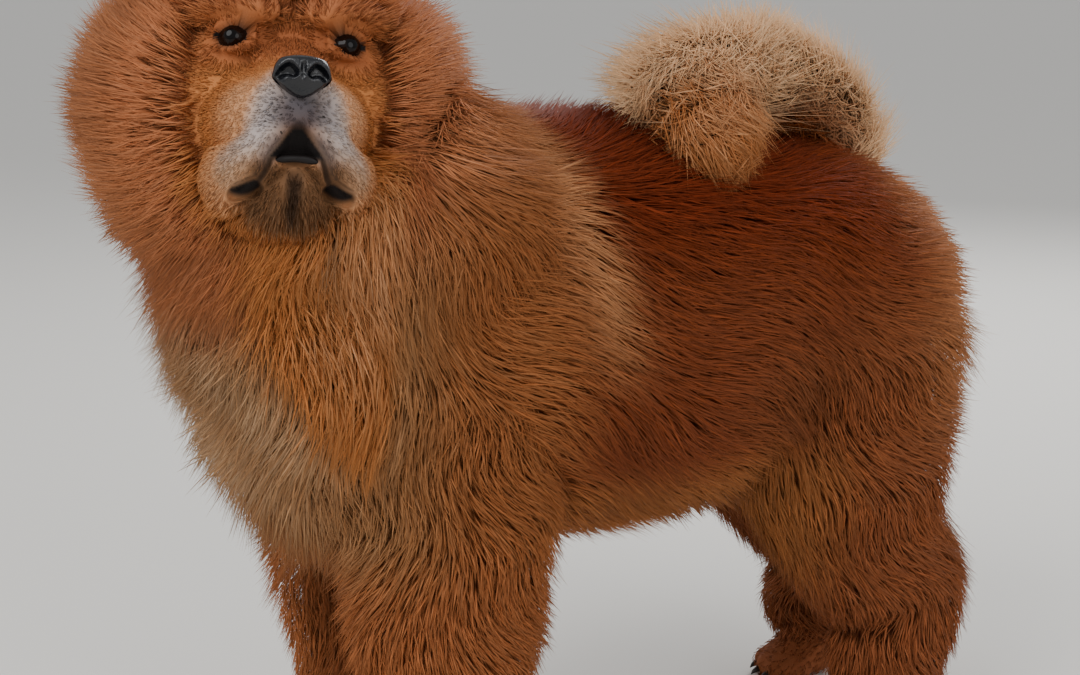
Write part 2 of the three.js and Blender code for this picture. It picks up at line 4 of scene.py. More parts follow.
import bpy
import numpy as np
from mathutils import Matrix, Vector
from mathutils.bvhtree import BVHTree
from mathutils.kdtree import KDTree


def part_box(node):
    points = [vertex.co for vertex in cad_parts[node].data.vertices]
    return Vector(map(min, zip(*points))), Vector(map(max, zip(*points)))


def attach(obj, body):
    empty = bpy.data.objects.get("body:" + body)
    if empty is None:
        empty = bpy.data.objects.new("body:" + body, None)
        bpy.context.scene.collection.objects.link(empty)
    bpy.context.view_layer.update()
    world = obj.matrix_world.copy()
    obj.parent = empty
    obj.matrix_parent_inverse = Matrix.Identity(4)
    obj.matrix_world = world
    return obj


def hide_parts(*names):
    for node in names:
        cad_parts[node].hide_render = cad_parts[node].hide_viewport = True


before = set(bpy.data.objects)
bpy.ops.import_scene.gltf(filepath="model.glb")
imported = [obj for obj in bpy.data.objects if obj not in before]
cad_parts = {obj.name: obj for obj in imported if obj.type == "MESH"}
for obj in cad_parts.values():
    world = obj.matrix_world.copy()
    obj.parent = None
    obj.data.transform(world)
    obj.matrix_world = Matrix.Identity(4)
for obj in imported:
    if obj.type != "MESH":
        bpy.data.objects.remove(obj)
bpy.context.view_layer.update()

# Places and sizes are millimetres in the dog's own frame, as in its solids: it faces -Y, its left is +X.
MM = 0.001
HEAD_AT = (15, -247, 555)
HEAD_YAW = 76
HEAD_PITCH = 13
HEAD_ROLL = 5
FORE_STANCE = 84
FORE_Y = -146
HIND_STANCE = 84
HIND_Y = 264
FAR_HIND_BACK = 50
EYE_AT = np.array([38.0, -56.0, 38.0])
EYE_RADIUS = 11.5
NOSE_TIP = np.array([0.0, -150.0, -1.0])

# The share of the coat's depth that is felted undercoat, and so part of the skin.
FELTED = 0.4
FELTED_RUFF = 0.3
FELTED_TAIL = 0.22

# How fine the skin is meshed, over the body and over the face.
BODY_GRAIN = 4.0
FACE_GRAIN = 1.7

# How far the coat's lie wanders, as a share of its own way, and the longest step of a tuft over its form.
LIE_WANDER = 0.4
LONGEST_ALONG = 0.3
LONGEST_ROUND = 0.7

draw = np.random.default_rng(20)

HEAD_MATRIX = np.array(
    Matrix.Translation(HEAD_AT)
    @ Matrix.Rotation(math.radians(HEAD_YAW), 4, "Z")
    @ Matrix.Rotation(math.radians(-HEAD_PITCH), 4, "X")
    @ Matrix.Rotation(math.radians(HEAD_ROLL), 4, "Y")
)


def from_head(places):
    """Places in the head's own frame, in the dog's frame."""
    return np.atleast_2d(places) @ HEAD_MATRIX[:3, :3].T + HEAD_MATRIX[:3, 3]


def to_head(places):
    """Places in the dog's frame, in the head's own frame."""
    return (np.atleast_2d(places) - HEAD_MATRIX[:3, 3]) @ HEAD_MATRIX[:3, :3]


# The solids are centred on the floor, so one known eye says how far they were moved.
eye_box = np.array(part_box("eye_left"))
CENTRING = eye_box.mean(axis=0) / MM - from_head(EYE_AT)[0]


def in_metres(places):
    return (np.asarray(places) + CENTRING) * MM


def unit(rows):
    return rows / np.maximum(np.linalg.norm(rows, axis=-1, keepdims=True), 1e-9)


def along_skin(way, normal):
    """The part of a way that runs over the skin, at length 1."""
    return unit(way - normal * (way * normal).sum(axis=1)[:, None])


def ease(value, start, end):
    """0 before start, 1 after end, and smooth between."""
    t = np.clip((value - start) / (end - start), 0, 1)
    return t * t * (3 - 2 * t)


def fade(value, start, end):
    """1 before start, 0 after end, and smooth between."""
    return 1 - ease(value, start, end)


# Forms
def ring_faces(rows, around):
    """Faces between rows of corners, where each row is a closed ring."""
    faces = []
    for row in range(rows - 1):
        here, there = row * around, (row + 1) * around
        for k in range(around):
            k2 = (k + 1) % around
            faces.append((here + k, here + k2, there + k2, there + k))
    return faces


class Form:
    """A closed skin round a bent spine. A station has its place, the skin's reach to the side, up and down,
    the coat's depth the same three ways, and how far the coat's tips move the place."""

    def __init__(self, stations, sideways=(1, 0, 0), upward=(0, 0, 1)):
        still = (0, 0, 0)
        full = [row if len(row) == 4 else (*row, still) for row in stations]
        self.rows = np.array([np.concatenate(row) for row in full], dtype=float)
        self.sideways = unit(np.array(sideways, dtype=float))
        self.upward = np.array(upward, dtype=float)

    def values(self, u):
        """The stations' numbers at shares u of the way along, smooth between stations."""
        last = len(self.rows) - 1
        place = np.clip(u, 0, 1) * last
        i = np.minimum(place.astype(int), last - 1)
        t = (place - i)[:, None]
        before, here = self.rows[np.maximum(i - 1, 0)], self.rows[i]
        there, after = self.rows[i + 1], self.rows[np.minimum(i + 2, last)]
        leave, arrive = (there - before) / 2, (after - here) / 2
        t2, t3 = t * t, t * t * t
        bend = (t3 - 2 * t2 + t) * leave + (t3 - t2) * arrive
        return (2 * t3 - 3 * t2 + 1) * here + (3 * t2 - 2 * t3) * there + bend

    def point(self, u, a, reach):
        """Points at shares u of the spine and angles a round it. Reach is 0 on the skin, 1 at the tips."""
        row = self.values(u)
        step = 0.004
        ahead = unit(self.values(u + step)[:, :3] - self.values(u - step)[:, :3])
        side = unit(self.sideways - ahead * (ahead @ self.sideways)[:, None])
        up = unit(np.cross(side, ahead))
        up *= np.where(up @ self.upward < 0, -1.0, 1.0)[:, None]
        out = np.maximum(row[:, 3:6] + reach[:, None] * row[:, 6:9], 0)
        high = np.where(np.sin(a) > 0, out[:, 1], out[:, 2])
        centre = row[:, :3] + reach[:, None] * row[:, 9:12]
        return centre + side * (out[:, 0] * np.cos(a))[:, None] + up * (high * np.sin(a))[:, None]

    def slopes(self, u, a, reach):
        """How a point moves with u and with a, and the way out of the surface there."""
        step = 1e-3
        by_u = (self.point(u + step, a, reach) - self.point(u - step, a, reach)) / (2 * step)
        by_a = (self.point(u, a + step, reach) - self.point(u, a - step, reach)) / (2 * step)
        normal = unit(np.cross(by_u, by_a))
        outward = self.point(u, a, reach) - self.values(u)[:, :3]
        normal *= np.where((normal * outward).sum(axis=1) < 0, -1.0, 1.0)[:, None]
        return by_u, by_a, normal

    def walk(self, u, a, reach, lie, length):
        """New u and a after a step of that length over the surface, the way the hair lies."""
        by_u, by_a, normal = self.slopes(u, a, reach)
        here = self.point(u, a, reach)
        way = along_skin(unit(lie(here, normal)) + LIE_WANDER * eddies(here), normal)
        uu, aa, ua = (by_u * by_u).sum(1), (by_a * by_a).sum(1), (by_u * by_a).sum(1)
        wu, wa = (way * by_u).sum(1), (way * by_a).sum(1)
        scale = length / np.maximum(uu * aa - ua * ua, 1.0)
        move_u = np.clip(scale * (wu * aa - wa * ua), -LONGEST_ALONG, LONGEST_ALONG)
        move_a = np.clip(scale * (wa * uu - wu * ua), -LONGEST_ROUND, LONGEST_ROUND)
        return np.clip(u + move_u, 0.005, 0.995), a + move_a

    def shell(self, around=28, along=22, reach=0.0):
        """The closed surface at one reach, as corners and faces."""
        u, a = np.meshgrid(np.linspace(0, 1, along), np.linspace(0, 2 * math.pi, around, endpoint=False))
        corners = self.point(u.T.ravel(), a.T.ravel(), np.full(u.size, float(reach)))
        return corners, ring_faces(along, around)


def pole(at, push=(0, 0, 0)):
    """A station that closes a form's end."""
    return (at, (0, 0, 0), (0, 0, 0), push)


def bare(at, skin):
    """A station with no long coat."""
    return (at, skin, (0, 0, 0))


TORSO = Form([
    pole((0, -235, 368), (0, -112, -14)),
    ((0, -212, 374), (76, 74, 80), (68, 58, 82), (0, -76, -6)),
    ((0, -160, 384), (106, 112, 112), (70, 50, 56), (0, -20, 0)),
    ((0, -95, 384), (121, 125, 128), (66, 50, 48)),
    ((0, -10, 386), (126, 121, 128), (62, 48, 52)),
    ((0, 75, 392), (121, 112, 121), (62, 46, 64)),
    ((0, 150, 402), (112, 95, 106), (64, 44, 74)),
    ((0, 212, 404), (106, 76, 100), (66, 40, 66), (0, 10, 0)),
    ((0, 252, 396), (78, 52, 74), (62, 34, 58), (0, 38, -12)),
    pole((0, 272, 384), (0, 78, -24)),
])

NECK = Form([
    pole((0, -95, 385), (0, 22, -10)),
    ((0, -112, 405), (92, 84, 92), (64, 60, 66)),
    ((0, -150, 442), (100, 88, 98), (78, 64, 92), (0, -6, 0)),
    ((4, -190, 486), (86, 76, 84), (80, 62, 96), (-4, -10, 0)),
    ((10, -218, 522), (66, 62, 66), (66, 58, 70)),
    pole((13, -226, 545), (0, 10, 10)),
], upward=(0, 0.8, 0.6))


def foreleg_form(side):
    x = side * FORE_STANCE
    return Form([
        pole((x - side * 16, FORE_Y + 6, 400), (0, 0, 10)),
        ((x - side * 10, FORE_Y + 4, 360), (44, 52, 58), (52, 40, 64)),
        ((x, FORE_Y + 4, 290), (42, 52, 50), (42, 40, 76)),
        ((x, FORE_Y + 4, 225), (33, 40, 36), (40, 42, 72)),
        ((x, FORE_Y, 150), (28, 31, 30), (36, 42, 58)),
        ((x, FORE_Y - 2, 90), (28, 29, 29), (28, 32, 38)),
        ((x + side, FORE_Y - 8, 48), (29, 30, 34), (14, 14, 14)),
        pole((x + side, FORE_Y - 8, 30)),
    ], upward=(0, 1, 0))


def hindleg_form(side, back):
    x = side * HIND_STANCE
    return Form([
        pole((x - side * 20, 165 + 0.3 * back, 425), (0, 0, 10)),
        ((x - side * 18, 172 + 0.4 * back, 385), (52, 72, 70), (52, 68, 20)),
        ((x - side * 8, 184 + 0.6 * back, 315), (48, 82, 74), (50, 84, 24)),
        ((x, 206 + 0.9 * back, 245), (38, 60, 58), (42, 72, 32)),
        ((x, 238 + back, 182), (29, 42, 40), (36, 46, 38)),
        ((x, HIND_Y + 8 + back, 135), (25, 32, 30), (32, 38, 32)),
        ((x, HIND_Y + back, 85), (25, 27, 28), (28, 32, 30)),
        ((x, HIND_Y - 6 + back, 48), (28, 29, 32), (14, 14, 14)),
        pole((x, HIND_Y - 8 + back, 30)),
    ], upward=(0, 1, 0))


TAIL = Form([
    pole((0, 226, 458), (0, 10, -12)),
    ((1, 234, 484), (22, 24, 24), (34, 28, 30)),
    ((4, 234, 520), (20, 22, 20), (46, 30, 36), (0, 8, 0)),
    ((10, 200, 548), (17, 18, 18), (58, 34, 30), (0, 8, 4)),
    ((20, 150, 564), (15, 16, 15), (66, 38, 22), (0, 0, 4)),
    ((42, 98, 562), (13, 13, 13), (68, 40, 22), (0, -12, 4)),
    ((72, 72, 554), (12, 12, 12), (52, 36, 28), (2, -6, 0)),
    ((92, 68, 536), (12, 12, 12), (38, 32, 32), (4, 0, 0)),
    ((104, 70, 516), (10, 10, 10), (30, 26, 28), (6, 0, -4)),
    pole((108, 74, 502), (6, 0, -16)),
], sideways=(1, 0.25, 0.2), upward=(0, 0.3, 1))


# The forms of the head are in its own frame: x to its left, y backwards, z up.
RUFF = Form([
    pole((0, -70, -8), (0, -6, 0)),
    ((0, -60, -8), (54, 50, 58), (6, 12, 8)),
    ((0, -38, -6), (70, 64, 76), (42, 40, 36)),
    ((0, -8, -4), (78, 70, 84), (66, 66, 60)),
    ((0, 30, -2), (80, 72, 84), (72, 74, 66)),
    ((0, 66, -4), (72, 66, 76), (70, 68, 66)),
    ((0, 96, -8), (50, 50, 56), (60, 56, 60), (0, 10, 0)),
    pole((0, 112, -8), (0, 44, 0)),
])

MUZZLE = Form([
    pole((0, -36, -20)),
    bare((0, -52, -20), (55, 42, 48)),
    bare((0, -80, -22), (52, 38, 46)),
    bare((0, -108, -23), (43, 32, 38)),
    bare((0, -130, -25), (31, 26, 26)),
    pole((0, -141, -26)),
])

# The top of the muzzle, from between the eyes to the nose.
BRIDGE = Form([
    pole((0, -40, 34)),
    bare((0, -58, 26), (24, 14, 18)),
    bare((0, -88, 10), (25, 10, 18)),
    bare((0, -120, -1), (22, 9, 16)),
    pole((0, -136, -6)),
])


def lip_form(side):
    return Form([
        pole((side * 5, -136, -26)),
        bare((side * 14, -130, -36), (13, 15, 13)),
        bare((side * 26, -118, -50), (15, 19, 18)),
        bare((side * 37, -98, -60), (16, 22, 20)),
        bare((side * 44, -74, -62), (15, 22, 19)),
        pole((side * 45, -50, -60)),
    ])


def brow_form(side):
    return Form([
        pole((side * 8, -64, 54)),
        bare((side * 18, -66, 58), (13, 14, 12)),
        bare((side * 40, -62, 64), (13, 14, 12)),
        bare((side * 60, -48, 58), (11, 12, 11)),
        pole((side * 70, -36, 48)),
    ])


def lid_form(side, rise, thick):
    return Form([
        pole((side * 23, -66, 35)),
        bare((side * 28, -67, 37 + rise * 0.5), (thick, thick, thick)),
        bare((side * 39, -66, 38 + rise), (thick, thick, thick)),
        bare((side * 49, -58, 38 + rise * 0.6), (thick, thick, thick)),
        pole((side * 54, -51, 36)),
    ])


JAW = Form([
    pole((0, -38, -74)),
    bare((0, -54, -76), (38, 20, 20)),
    bare((0, -84, -74), (33, 22, 20)),
    bare((0, -106, -66), (21, 18, 17)),
    bare((0, -118, -60), (11, 11, 11)),
    pole((0, -123, -57)),
])

NOSE = Form([
    pole((0, -122, -2)),
    bare((0, -128, -2), (15, 13, 13)),
    bare((0, -138, -1), (18.5, 15, 15)),
    bare((0, -148, -1), (16, 13, 14)),
    pole((0, -153, -2)),
])


def ear_form(side):
    return Form([
        pole((side * 54, 16, 74)),
        bare((side * 57, 14, 84), (32, 12, 12)),
        bare((side * 63, 9, 112), (30, 11, 10)),
        bare((side * 69, 2, 139), (23, 9, 8)),
        bare((side * 72, -4, 156), (13, 6, 6)),
        pole((side * 73, -6, 163)),
    ], sideways=(1, side * -0.25, 0), upward=(0, 1, 0))


def ball(at, radius, around=16, along=10):
    """A squashed ball, as corners and faces. The radius is one number or three."""
    radii = np.broadcast_to(radius, 3)
    turn = np.linspace(0, 2 * math.pi, around, endpoint=False)
    turns, tilts = np.meshgrid(turn, np.linspace(0, math.pi, along))
    out = np.stack([np.sin(tilts) * np.cos(turns), np.sin(tilts) * np.sin(turns), np.cos(tilts)], axis=-1)
    return out.reshape(-1, 3) * radii + np.array(at, dtype=float), ring_faces(along, around)


# Each leg's form, and the place of its paw.
LEGS = [
    (foreleg_form(1), FORE_STANCE + 1, FORE_Y - 8),
    (foreleg_form(-1), -FORE_STANCE - 1, FORE_Y - 8),
    (hindleg_form(1, 0), HIND_STANCE, HIND_Y - 8),
    (hindleg_form(-1, FAR_HIND_BACK), -HIND_STANCE, HIND_Y - 8 + FAR_HIND_BACK),
]

TOE_SPACING = 15
TOE_AHEAD = 30
MIDDLE_TOE_AHEAD = 39
CLAW_AHEAD = 21


def toes(x, y):
    """The middles of a paw's four toes, the middle two further ahead."""
    ahead = (TOE_AHEAD, MIDDLE_TOE_AHEAD, MIDDLE_TOE_AHEAD, TOE_AHEAD)
    return [(x + (k - 1.5) * TOE_SPACING, y - ahead[k]) for k in range(4)]


def paw_shells(x, y):
    """One foot: its pad and four toes."""
    shells = [ball((x, y - 2, 24), (30, 34, 24)), ball((x, y - 20, 18), (31, 24, 17))]
    return shells + [ball((toe_x, toe_y, 12), (10.5, 16, 12)) for toe_x, toe_y in toes(x, y)]


# Making meshes
def new_object(name, corners, faces, stuff=None):
    """A mesh of one material in the scene. Corners are in metres, and every face has as many corners."""
    mesh = bpy.data.meshes.new(name)
    mesh.from_pydata(np.asarray(corners).tolist(), [], np.asarray(faces).tolist(), shade_flat=False)
    if stuff:
        mesh.materials.append(stuff)
    obj = bpy.data.objects.new(name, mesh)
    bpy.context.scene.collection.objects.link(obj)
    return obj


def joined(shells):
    corners, faces, start = [], [], 0
    for some_corners, some_faces in shells:
        corners.append(some_corners)
        faces += [tuple(start + i for i in face) for face in some_faces]
        start += len(some_corners)
    return np.vstack(corners), faces


def fused(name, shells, grain, softening):
    """Shells melted into one skin of even grain, with the joins between them softened."""
    obj = new_object(name, *joined([(in_metres(c), f) for c, f in shells]))
    melt = obj.modifiers.new("melt", "REMESH")
    melt.mode = "VOXEL"
    melt.voxel_size = grain * MM
    melt.use_smooth_shade = True
    soften = obj.modifiers.new("soften", "SMOOTH")
    soften.factor = 0.5
    soften.iterations = softening
    depsgraph = bpy.context.evaluated_depsgraph_get()
    obj.data = bpy.data.meshes.new_from_object(obj.evaluated_get(depsgraph))
    obj.modifiers.clear()
    return obj


def corners_of(obj):
    out = np.empty(len(obj.data.vertices) * 3)
    obj.data.vertices.foreach_get("co", out)
    return out.reshape(-1, 3) / MM - CENTRING


def set_corners(obj, places):
    obj.data.vertices.foreach_set("co", in_metres(places).ravel())
    obj.data.update()


# Colours
def linear(code):
    """A colour written as sRGB hex, in linear light."""
    parts = np.array([int(code[i:i + 2], 16) / 255 for i in (1, 3, 5)])
    return np.where(parts <= 0.04045, parts / 12.92, ((parts + 0.055) / 1.055) ** 2.4)


RUFF_RED = linear("#af6c45")
RUFF_TAN = linear("#ba7d52")
CROWN_RED = linear("#94491f")
BROW_RED = linear("#94532f")
CHEEK_TAN = linear("#b8743f")
CHEEK_PEACH = linear("#c8946b")
MUZZLE_PALE = linear("#a99c97")
FLEW_CREAM = linear("#b8977a")
MUZZLE_GREY = linear("#37353d")
CHIN_BROWN = linear("#69492f")
# Black of the lips, lid rims and whisker specks, also used as painted shade in the mouth and down the chin.
LIP_BLACK_AND_PAINTED_SHADE = linear("#120d0c")
BIB_TAN = linear("#a87a50")
BIB_PALE = linear("#c6a07a")
SHOULDER_RED = linear("#a06238")
CAPE_PALE = linear("#cc9060")
SADDLE_MAHOGANY = linear("#742c0e")
SIDE_RED = linear("#834222")
FLANK_BROWN = linear("#844a29")
BELLY_TAN = linear("#a76a3b")
THIGH_RED = linear("#925330")
RUMP_FAWN = linear("#bd7f52")
BREECHES_CREAM = linear("#d8a878")
TAIL_CREAM = linear("#deb48a")
TAIL_ROOT_RED = linear("#934b20")
PUFF_TAN = linear("#b5713f")
LEG_ORANGE = linear("#a9663c")
# Painted shade for the inner sides of the legs.
INNER_LEG_PAINTED_SHADE = linear("#6b3418")


def lay(base, colour, weight):
    """One colour laid over another by a weight from 0 to 1 at each place."""
    w = np.clip(weight, 0, 1)[:, None]
    return base * (1 - w) + colour * w


def layered(colour, layers):
    """Colours laid over one another in turn, each by its weight."""
    for hue, weight in layers:
        colour = lay(colour, hue, weight)
    return colour


def near(places, at, radius):
    """1 at a place and fading to 0 at that radius."""
    return fade(np.linalg.norm((places - np.array(at)) / np.broadcast_to(radius, 3), axis=1), 0.25, 1.0)


def markings_and_painted_shade(p):
    """The dog's colours at places in its frame, with painted shade inside the legs and down the chin's
    groove. Skin and coat both take them from here.
    """
    x, y, z = p[:, 0], p[:, 1], p[:, 2]
    band = np.exp(-(((y + 70 + 0.15 * (z - 450)) / 22) ** 2)) * ease(z, 340, 430)
    wave = 0.5 + 0.5 * np.sin(0.05 * z + 0.02 * x + 1.8 * np.sin(0.02 * x + 0.016 * z))
    colour = layered(np.tile(SIDE_RED, (len(p), 1)), [
        (SADDLE_MAHOGANY, ease(z, 400, 490) * fade(y, 150, 260)),
        (FLANK_BROWN, ease(y, 20, 120) * fade(z, 330, 420)),
        (BELLY_TAN, fade(z, 250, 310) * 0.8),
        (THIGH_RED, ease(y, 130, 200) * fade(z, 360, 450)),
        (RUMP_FAWN, ease(y, 200, 300) * ease(z, 230, 380) * 0.8),
        (BREECHES_CREAM, ease(y, 285, 350) * ease(z, 150, 260) * 0.9),
        (SHOULDER_RED, fade(y, -120, -50)),
        (CAPE_PALE, 0.75 * band),
        (BIB_TAN, fade(y, -230, -150) * 0.8),
        (BIB_PALE, fade(y, -290, -200) * ease(z, 200, 320) * (0.2 + 0.55 * wave)),
        (LEG_ORANGE, fade(z, 190, 270) * fade(y, -40, 60)),
        # Painted shade on the inner sides of the legs, low between them.
        (INNER_LEG_PAINTED_SHADE, fade(np.abs(x), 30, 62) * fade(z, 150, 230) * 0.8),
    ])
    return head_markings_and_painted_shade(p, colour)


# The middle of the muzzle's pale band on each side, from beside the nose down past the arch of the mouth.
PALE_BANDS = [
    [(s * 19, -142, -4), (s * 22, -138, -26), (s * 26, -132, -44), (s * 39, -113, -60)] for s in (1, -1)
]

# The edge of each upper lip, from under the nose round the arch to the corner of the mouth.
LIP_LINES = [
    [(s, -141, -34), (s * 8, -143, -41), (s * 15, -142, -50), (s * 20, -136, -60), (s * 27, -129, -69),
     (s * 37, -117, -73)]
    for s in (1, -1)
]


def head_markings_and_painted_shade(p, colour):
    """The markings with the head's own laid over them, and painted shade down the groove of the chin."""
    h = to_head(p)
    x, y, z = np.abs(h[:, 0]), h[:, 1], h[:, 2]
    on_head = fade(np.linalg.norm(h - np.array([0, 10, 0]), axis=1), 145, 195)
    face = fade(y, -62, -38) * fade(x, 66, 84) * fade(z, 44, 64)
    pale = near(h, (0, -140, -4), (34, 44, 32))
    for line in PALE_BANDS:
        pale = np.maximum(pale, fade(distance_to_line(h, line), 2, 21))
    grey = near(h, (0, -144, -24), (34, 42, 27))
    for line in LIP_LINES:
        grey = np.maximum(grey, 0.8 - 0.8 * ease(distance_to_line(h, line[:4]), 3, 15))
    under = fade(x, 26, 44) * fade(z, -62, -52) * fade(y, -96, -80)
    chin_groove_shade = distance_to_line(h, [(0, -130, -56), (0, -106, -92)])
    return layered(colour, [
        (RUFF_RED, on_head),
        (RUFF_TAN, on_head * ease(x + 0.4 * np.abs(z), 110, 170) * 0.7),
        (CROWN_RED, on_head * ease(z, 50, 110) * 0.8),
        (CHEEK_TAN, face),
        (BROW_RED, face * ease(z, 6, 28) * 0.9),
        (CHEEK_PEACH, face * fade(y, -110, -70) * fade(z, -10, 14) * 0.8),
        (FLEW_CREAM, pale * fade(y, -88, -66)),
        (MUZZLE_PALE, pale * fade(y, -100, -84) * ease(z, -66, -40)),
        (MUZZLE_GREY, grey * 0.9),
        (CHIN_BROWN, under * 0.9),
        # Painted shade down the groove of the chin.
        (LIP_BLACK_AND_PAINTED_SHADE, fade(chin_groove_shade, 1.5, 9) * 0.75),
    ])


def tail_markings(p):
    """The tail: cream plume, red at the root, tan where it ends."""
    return layered(np.tile(TAIL_CREAM, (len(p), 1)), [
        (TAIL_ROOT_RED, near(p, (30, 175, 520), (110, 80, 62))),
        (PUFF_TAN, near(p, (100, 72, 522), (84, 80, 74))),
    ])


# Materials
def add(tree, kind, settings=None, links=None):
    """A node with its settings, and links to it as {socket: (node, output)}."""
    node = tree.nodes.new(kind)
    for key, value in (settings or {}).items():
        if key in node.inputs:
            node.inputs[key].default_value = value
        else:
            setattr(node, key, value)
    for socket, (source, output) in (links or {}).items():
        tree.links.new(source.outputs[output], node.inputs[socket])
    return node


def material(name, settings, painted=None):
    """A material whose shader has these settings, and the colours painted on the mesh under a name."""
    made = bpy.data.materials.new(name)
    made.use_nodes = True
    tree = made.node_tree
    shader = next(n for n in tree.nodes if n.type == "BSDF_PRINCIPLED")
    for socket, value in settings.items():
        shader.inputs[socket].default_value = value
    if painted:
        colours = add(tree, "ShaderNodeAttribute", {"attribute_name": painted})
        tree.links.new(colours.outputs["Color"], shader.inputs["Base Color"])
    return made, tree, shader


def dog_hair():
    """Hair of a double coat, grown and brushed: a soft dull gloss, each tuft a little lighter or darker."""
    return material("dog_hair", {"Roughness": 0.7, "Specular IOR Level": 0.14}, "markings_and_painted_shade")[0]


HAIRS_PER_METRE = 900


def dog_skin():
    """Skin under short hair: the same markings and painted shade, with fine bumps as close as the hairs,
    1.1 mm apart.
    """
    dull = {"Roughness": 0.75, "Specular IOR Level": 0.2}
    made, tree, shader = material("dog_skin", dull, "markings_and_painted_shade")
    place = add(tree, "ShaderNodeTexCoord")
    noise = {"Scale": HAIRS_PER_METRE, "Detail": 3.0}
    hairs = add(tree, "ShaderNodeTexNoise", noise, {"Vector": (place, "Object")})
    bump = add(tree, "ShaderNodeBump", {"Strength": 0.5, "Distance": 0.8 * MM}, {"Height": (hairs, "Fac")})
    tree.links.new(bump.outputs["Normal"], shader.inputs["Normal"])
    return made


PEBBLES_PER_METRE = 700


def nose_leather():
    """Bare skin of the nose: black, moist and pebbled, with grains about 1.4 mm across."""
    settings = {"Base Color": (*linear("#0b0c11"), 1), "Roughness": 0.27, "Specular IOR Level": 0.5}
    made, tree, shader = material("nose_leather", settings)
    place = add(tree, "ShaderNodeTexCoord")
    pebbles = add(tree, "ShaderNodeTexVoronoi", {"Scale": PEBBLES_PER_METRE}, {"Vector": (place, "Object")})
    depth = {"Strength": 0.25, "Distance": 0.6 * MM}
    bump = add(tree, "ShaderNodeBump", depth, {"Height": (pebbles, "Distance")})
    tree.links.new(bump.outputs["Normal"], shader.inputs["Normal"])
    return made


def lip_skin():
    """Bare skin of the lower lip: black and a little moist."""
    settings = {"Base Color": (*LIP_BLACK_AND_PAINTED_SHADE, 1), "Roughness": 0.5, "Specular IOR Level": 0.25}
    return material("lip_skin", settings)[0]


def eye_wet():
    """A living eye: dark brown iris under a clear wet cornea, near black from a step away."""
    return material("eye_wet", {"Roughness": 0.06, "IOR": 1.38, "Specular IOR Level": 0.25}, "iris")[0]


def claw_horn():
    """Horn of a claw: dark, dense and slightly polished by wear."""
    return material("claw_horn", {"Base Color": (*linear("#2c211b"), 1), "Roughness": 0.38})[0]


def pale_floor():
    """Studio floor: matt pale paint with no pattern."""
    return material("pale_floor", {"Base Color": (*linear("#dcd9d3"), 1), "Roughness": 0.85})[0]


def paint(obj, name, colours):
    """A colour at each corner, under that name."""
    layer = obj.data.color_attributes.new(name, "FLOAT_COLOR", "POINT")
    rgba = np.ones((len(colours), 4), dtype=np.float32)
    rgba[:, :3] = colours
    layer.data.foreach_set("color", rgba.ravel())


# Skin
def body_shells():
    shells = [TORSO.shell(36, 30, FELTED), NECK.shell(32, 20, FELTED)]
    shells.append(TAIL.shell(20, 44, FELTED_TAIL))
    for leg, paw_x, paw_y in LEGS:
        shells.append(leg.shell(24, 34, FELTED))
        shells += paw_shells(paw_x, paw_y)
    return shells


def head_shells():
    shells = [RUFF.shell(32, 24, FELTED_RUFF), MUZZLE.shell(32, 24)]
    shells += [BRIDGE.shell(20, 20), JAW.shell(24, 20)]
    for side in (1, -1):
        shells += [lip_form(side).shell(20, 22), brow_form(side).shell(18, 18)]
        shells += [lid_form(side, 9, 4.6).shell(12, 14), lid_form(side, -8, 4.2).shell(12, 14)]
        shells.append(cupped_ear(side))
    return [(from_head(corners), faces) for corners, faces in shells]


EAR_FOOT = 74
EAR_HEIGHT = 90
EAR_HALF_WIDTH = 30
EAR_HOLLOW = 13


def cupped_ear(side):
    """An ear with its front hollowed towards the middle."""
    form = ear_form(side)
    around, along = 28, 24
    corners, faces = form.shell(around, along)
    middle = form.values(np.linspace(0, 1, along))[:, :3].repeat(around, axis=0)
    off = corners - middle
    across = np.abs(off[:, 0]) / EAR_HALF_WIDTH
    height = (corners[:, 2] - EAR_FOOT) / EAR_HEIGHT
    hollow = np.where(off[:, 1] < 0, 1.0, 0.0) * fade(across, 0.3, 0.95)
    hollow *= ease(height, 0.12, 0.35) * fade(height, 0.7, 0.95)
    corners[:, 1] += EAR_HOLLOW * hollow
    return corners, faces


def make_skin():
    body = fused("body_skin", body_shells(), BODY_GRAIN, 8)
    face = fused("face_skin", head_shells(), FACE_GRAIN, 5)
    shape_face(face)
    flatten_soles(body)
    with bpy.context.temp_override(active_object=body, selected_editable_objects=[body, face]):
        bpy.ops.object.join()
    places = corners_of(body)
    colours = markings_and_painted_shade(places)
    on_tail = (near(places, (40, 150, 545), (120, 150, 90)) > 0) & (places[:, 2] > 505)
    colours[on_tail] = tail_markings(places[on_tail])
    paint(body, "markings_and_painted_shade", lip_colours(places, colours))
    body.data.materials.clear()
    body.data.materials.append(dog_skin())
    body.name = "skin"
    return body


def in_mouth(h):
    """1 in the dark arch between the upper lips and in the mouth's corners, less in the folds between them.
    As colour it is black lip skin with painted shade in the arch and corners, and painted shade in the
    folds. It is measured face on, so y is 0 in its lines."""
    x, z = np.abs(h[:, 0]), h[:, 2]
    face_on = h * np.array([1, 0, 1])
    half_width = 2 + 0.75 * (-29 - z)
    dark = fade(x - half_width, -2.5, 1.5) * ease(z, -57, -51) * fade(z, -34, -28)
    for s in (1, -1):
        corner = [(s * 25, 0, -71), (s * 37, 0, -75)]
        fold = [(s * 17, 0, -53), (s * 21, 0, -63), (s * 26, 0, -71)]
        dark = np.maximum(dark, fade(distance_to_line(face_on, corner), 4.0, 6.5))
        dark = np.maximum(dark, 0.8 - 0.8 * ease(distance_to_line(face_on, fold), 0.8, 3.2))
    return dark * fade(h[:, 1], -106, -96)


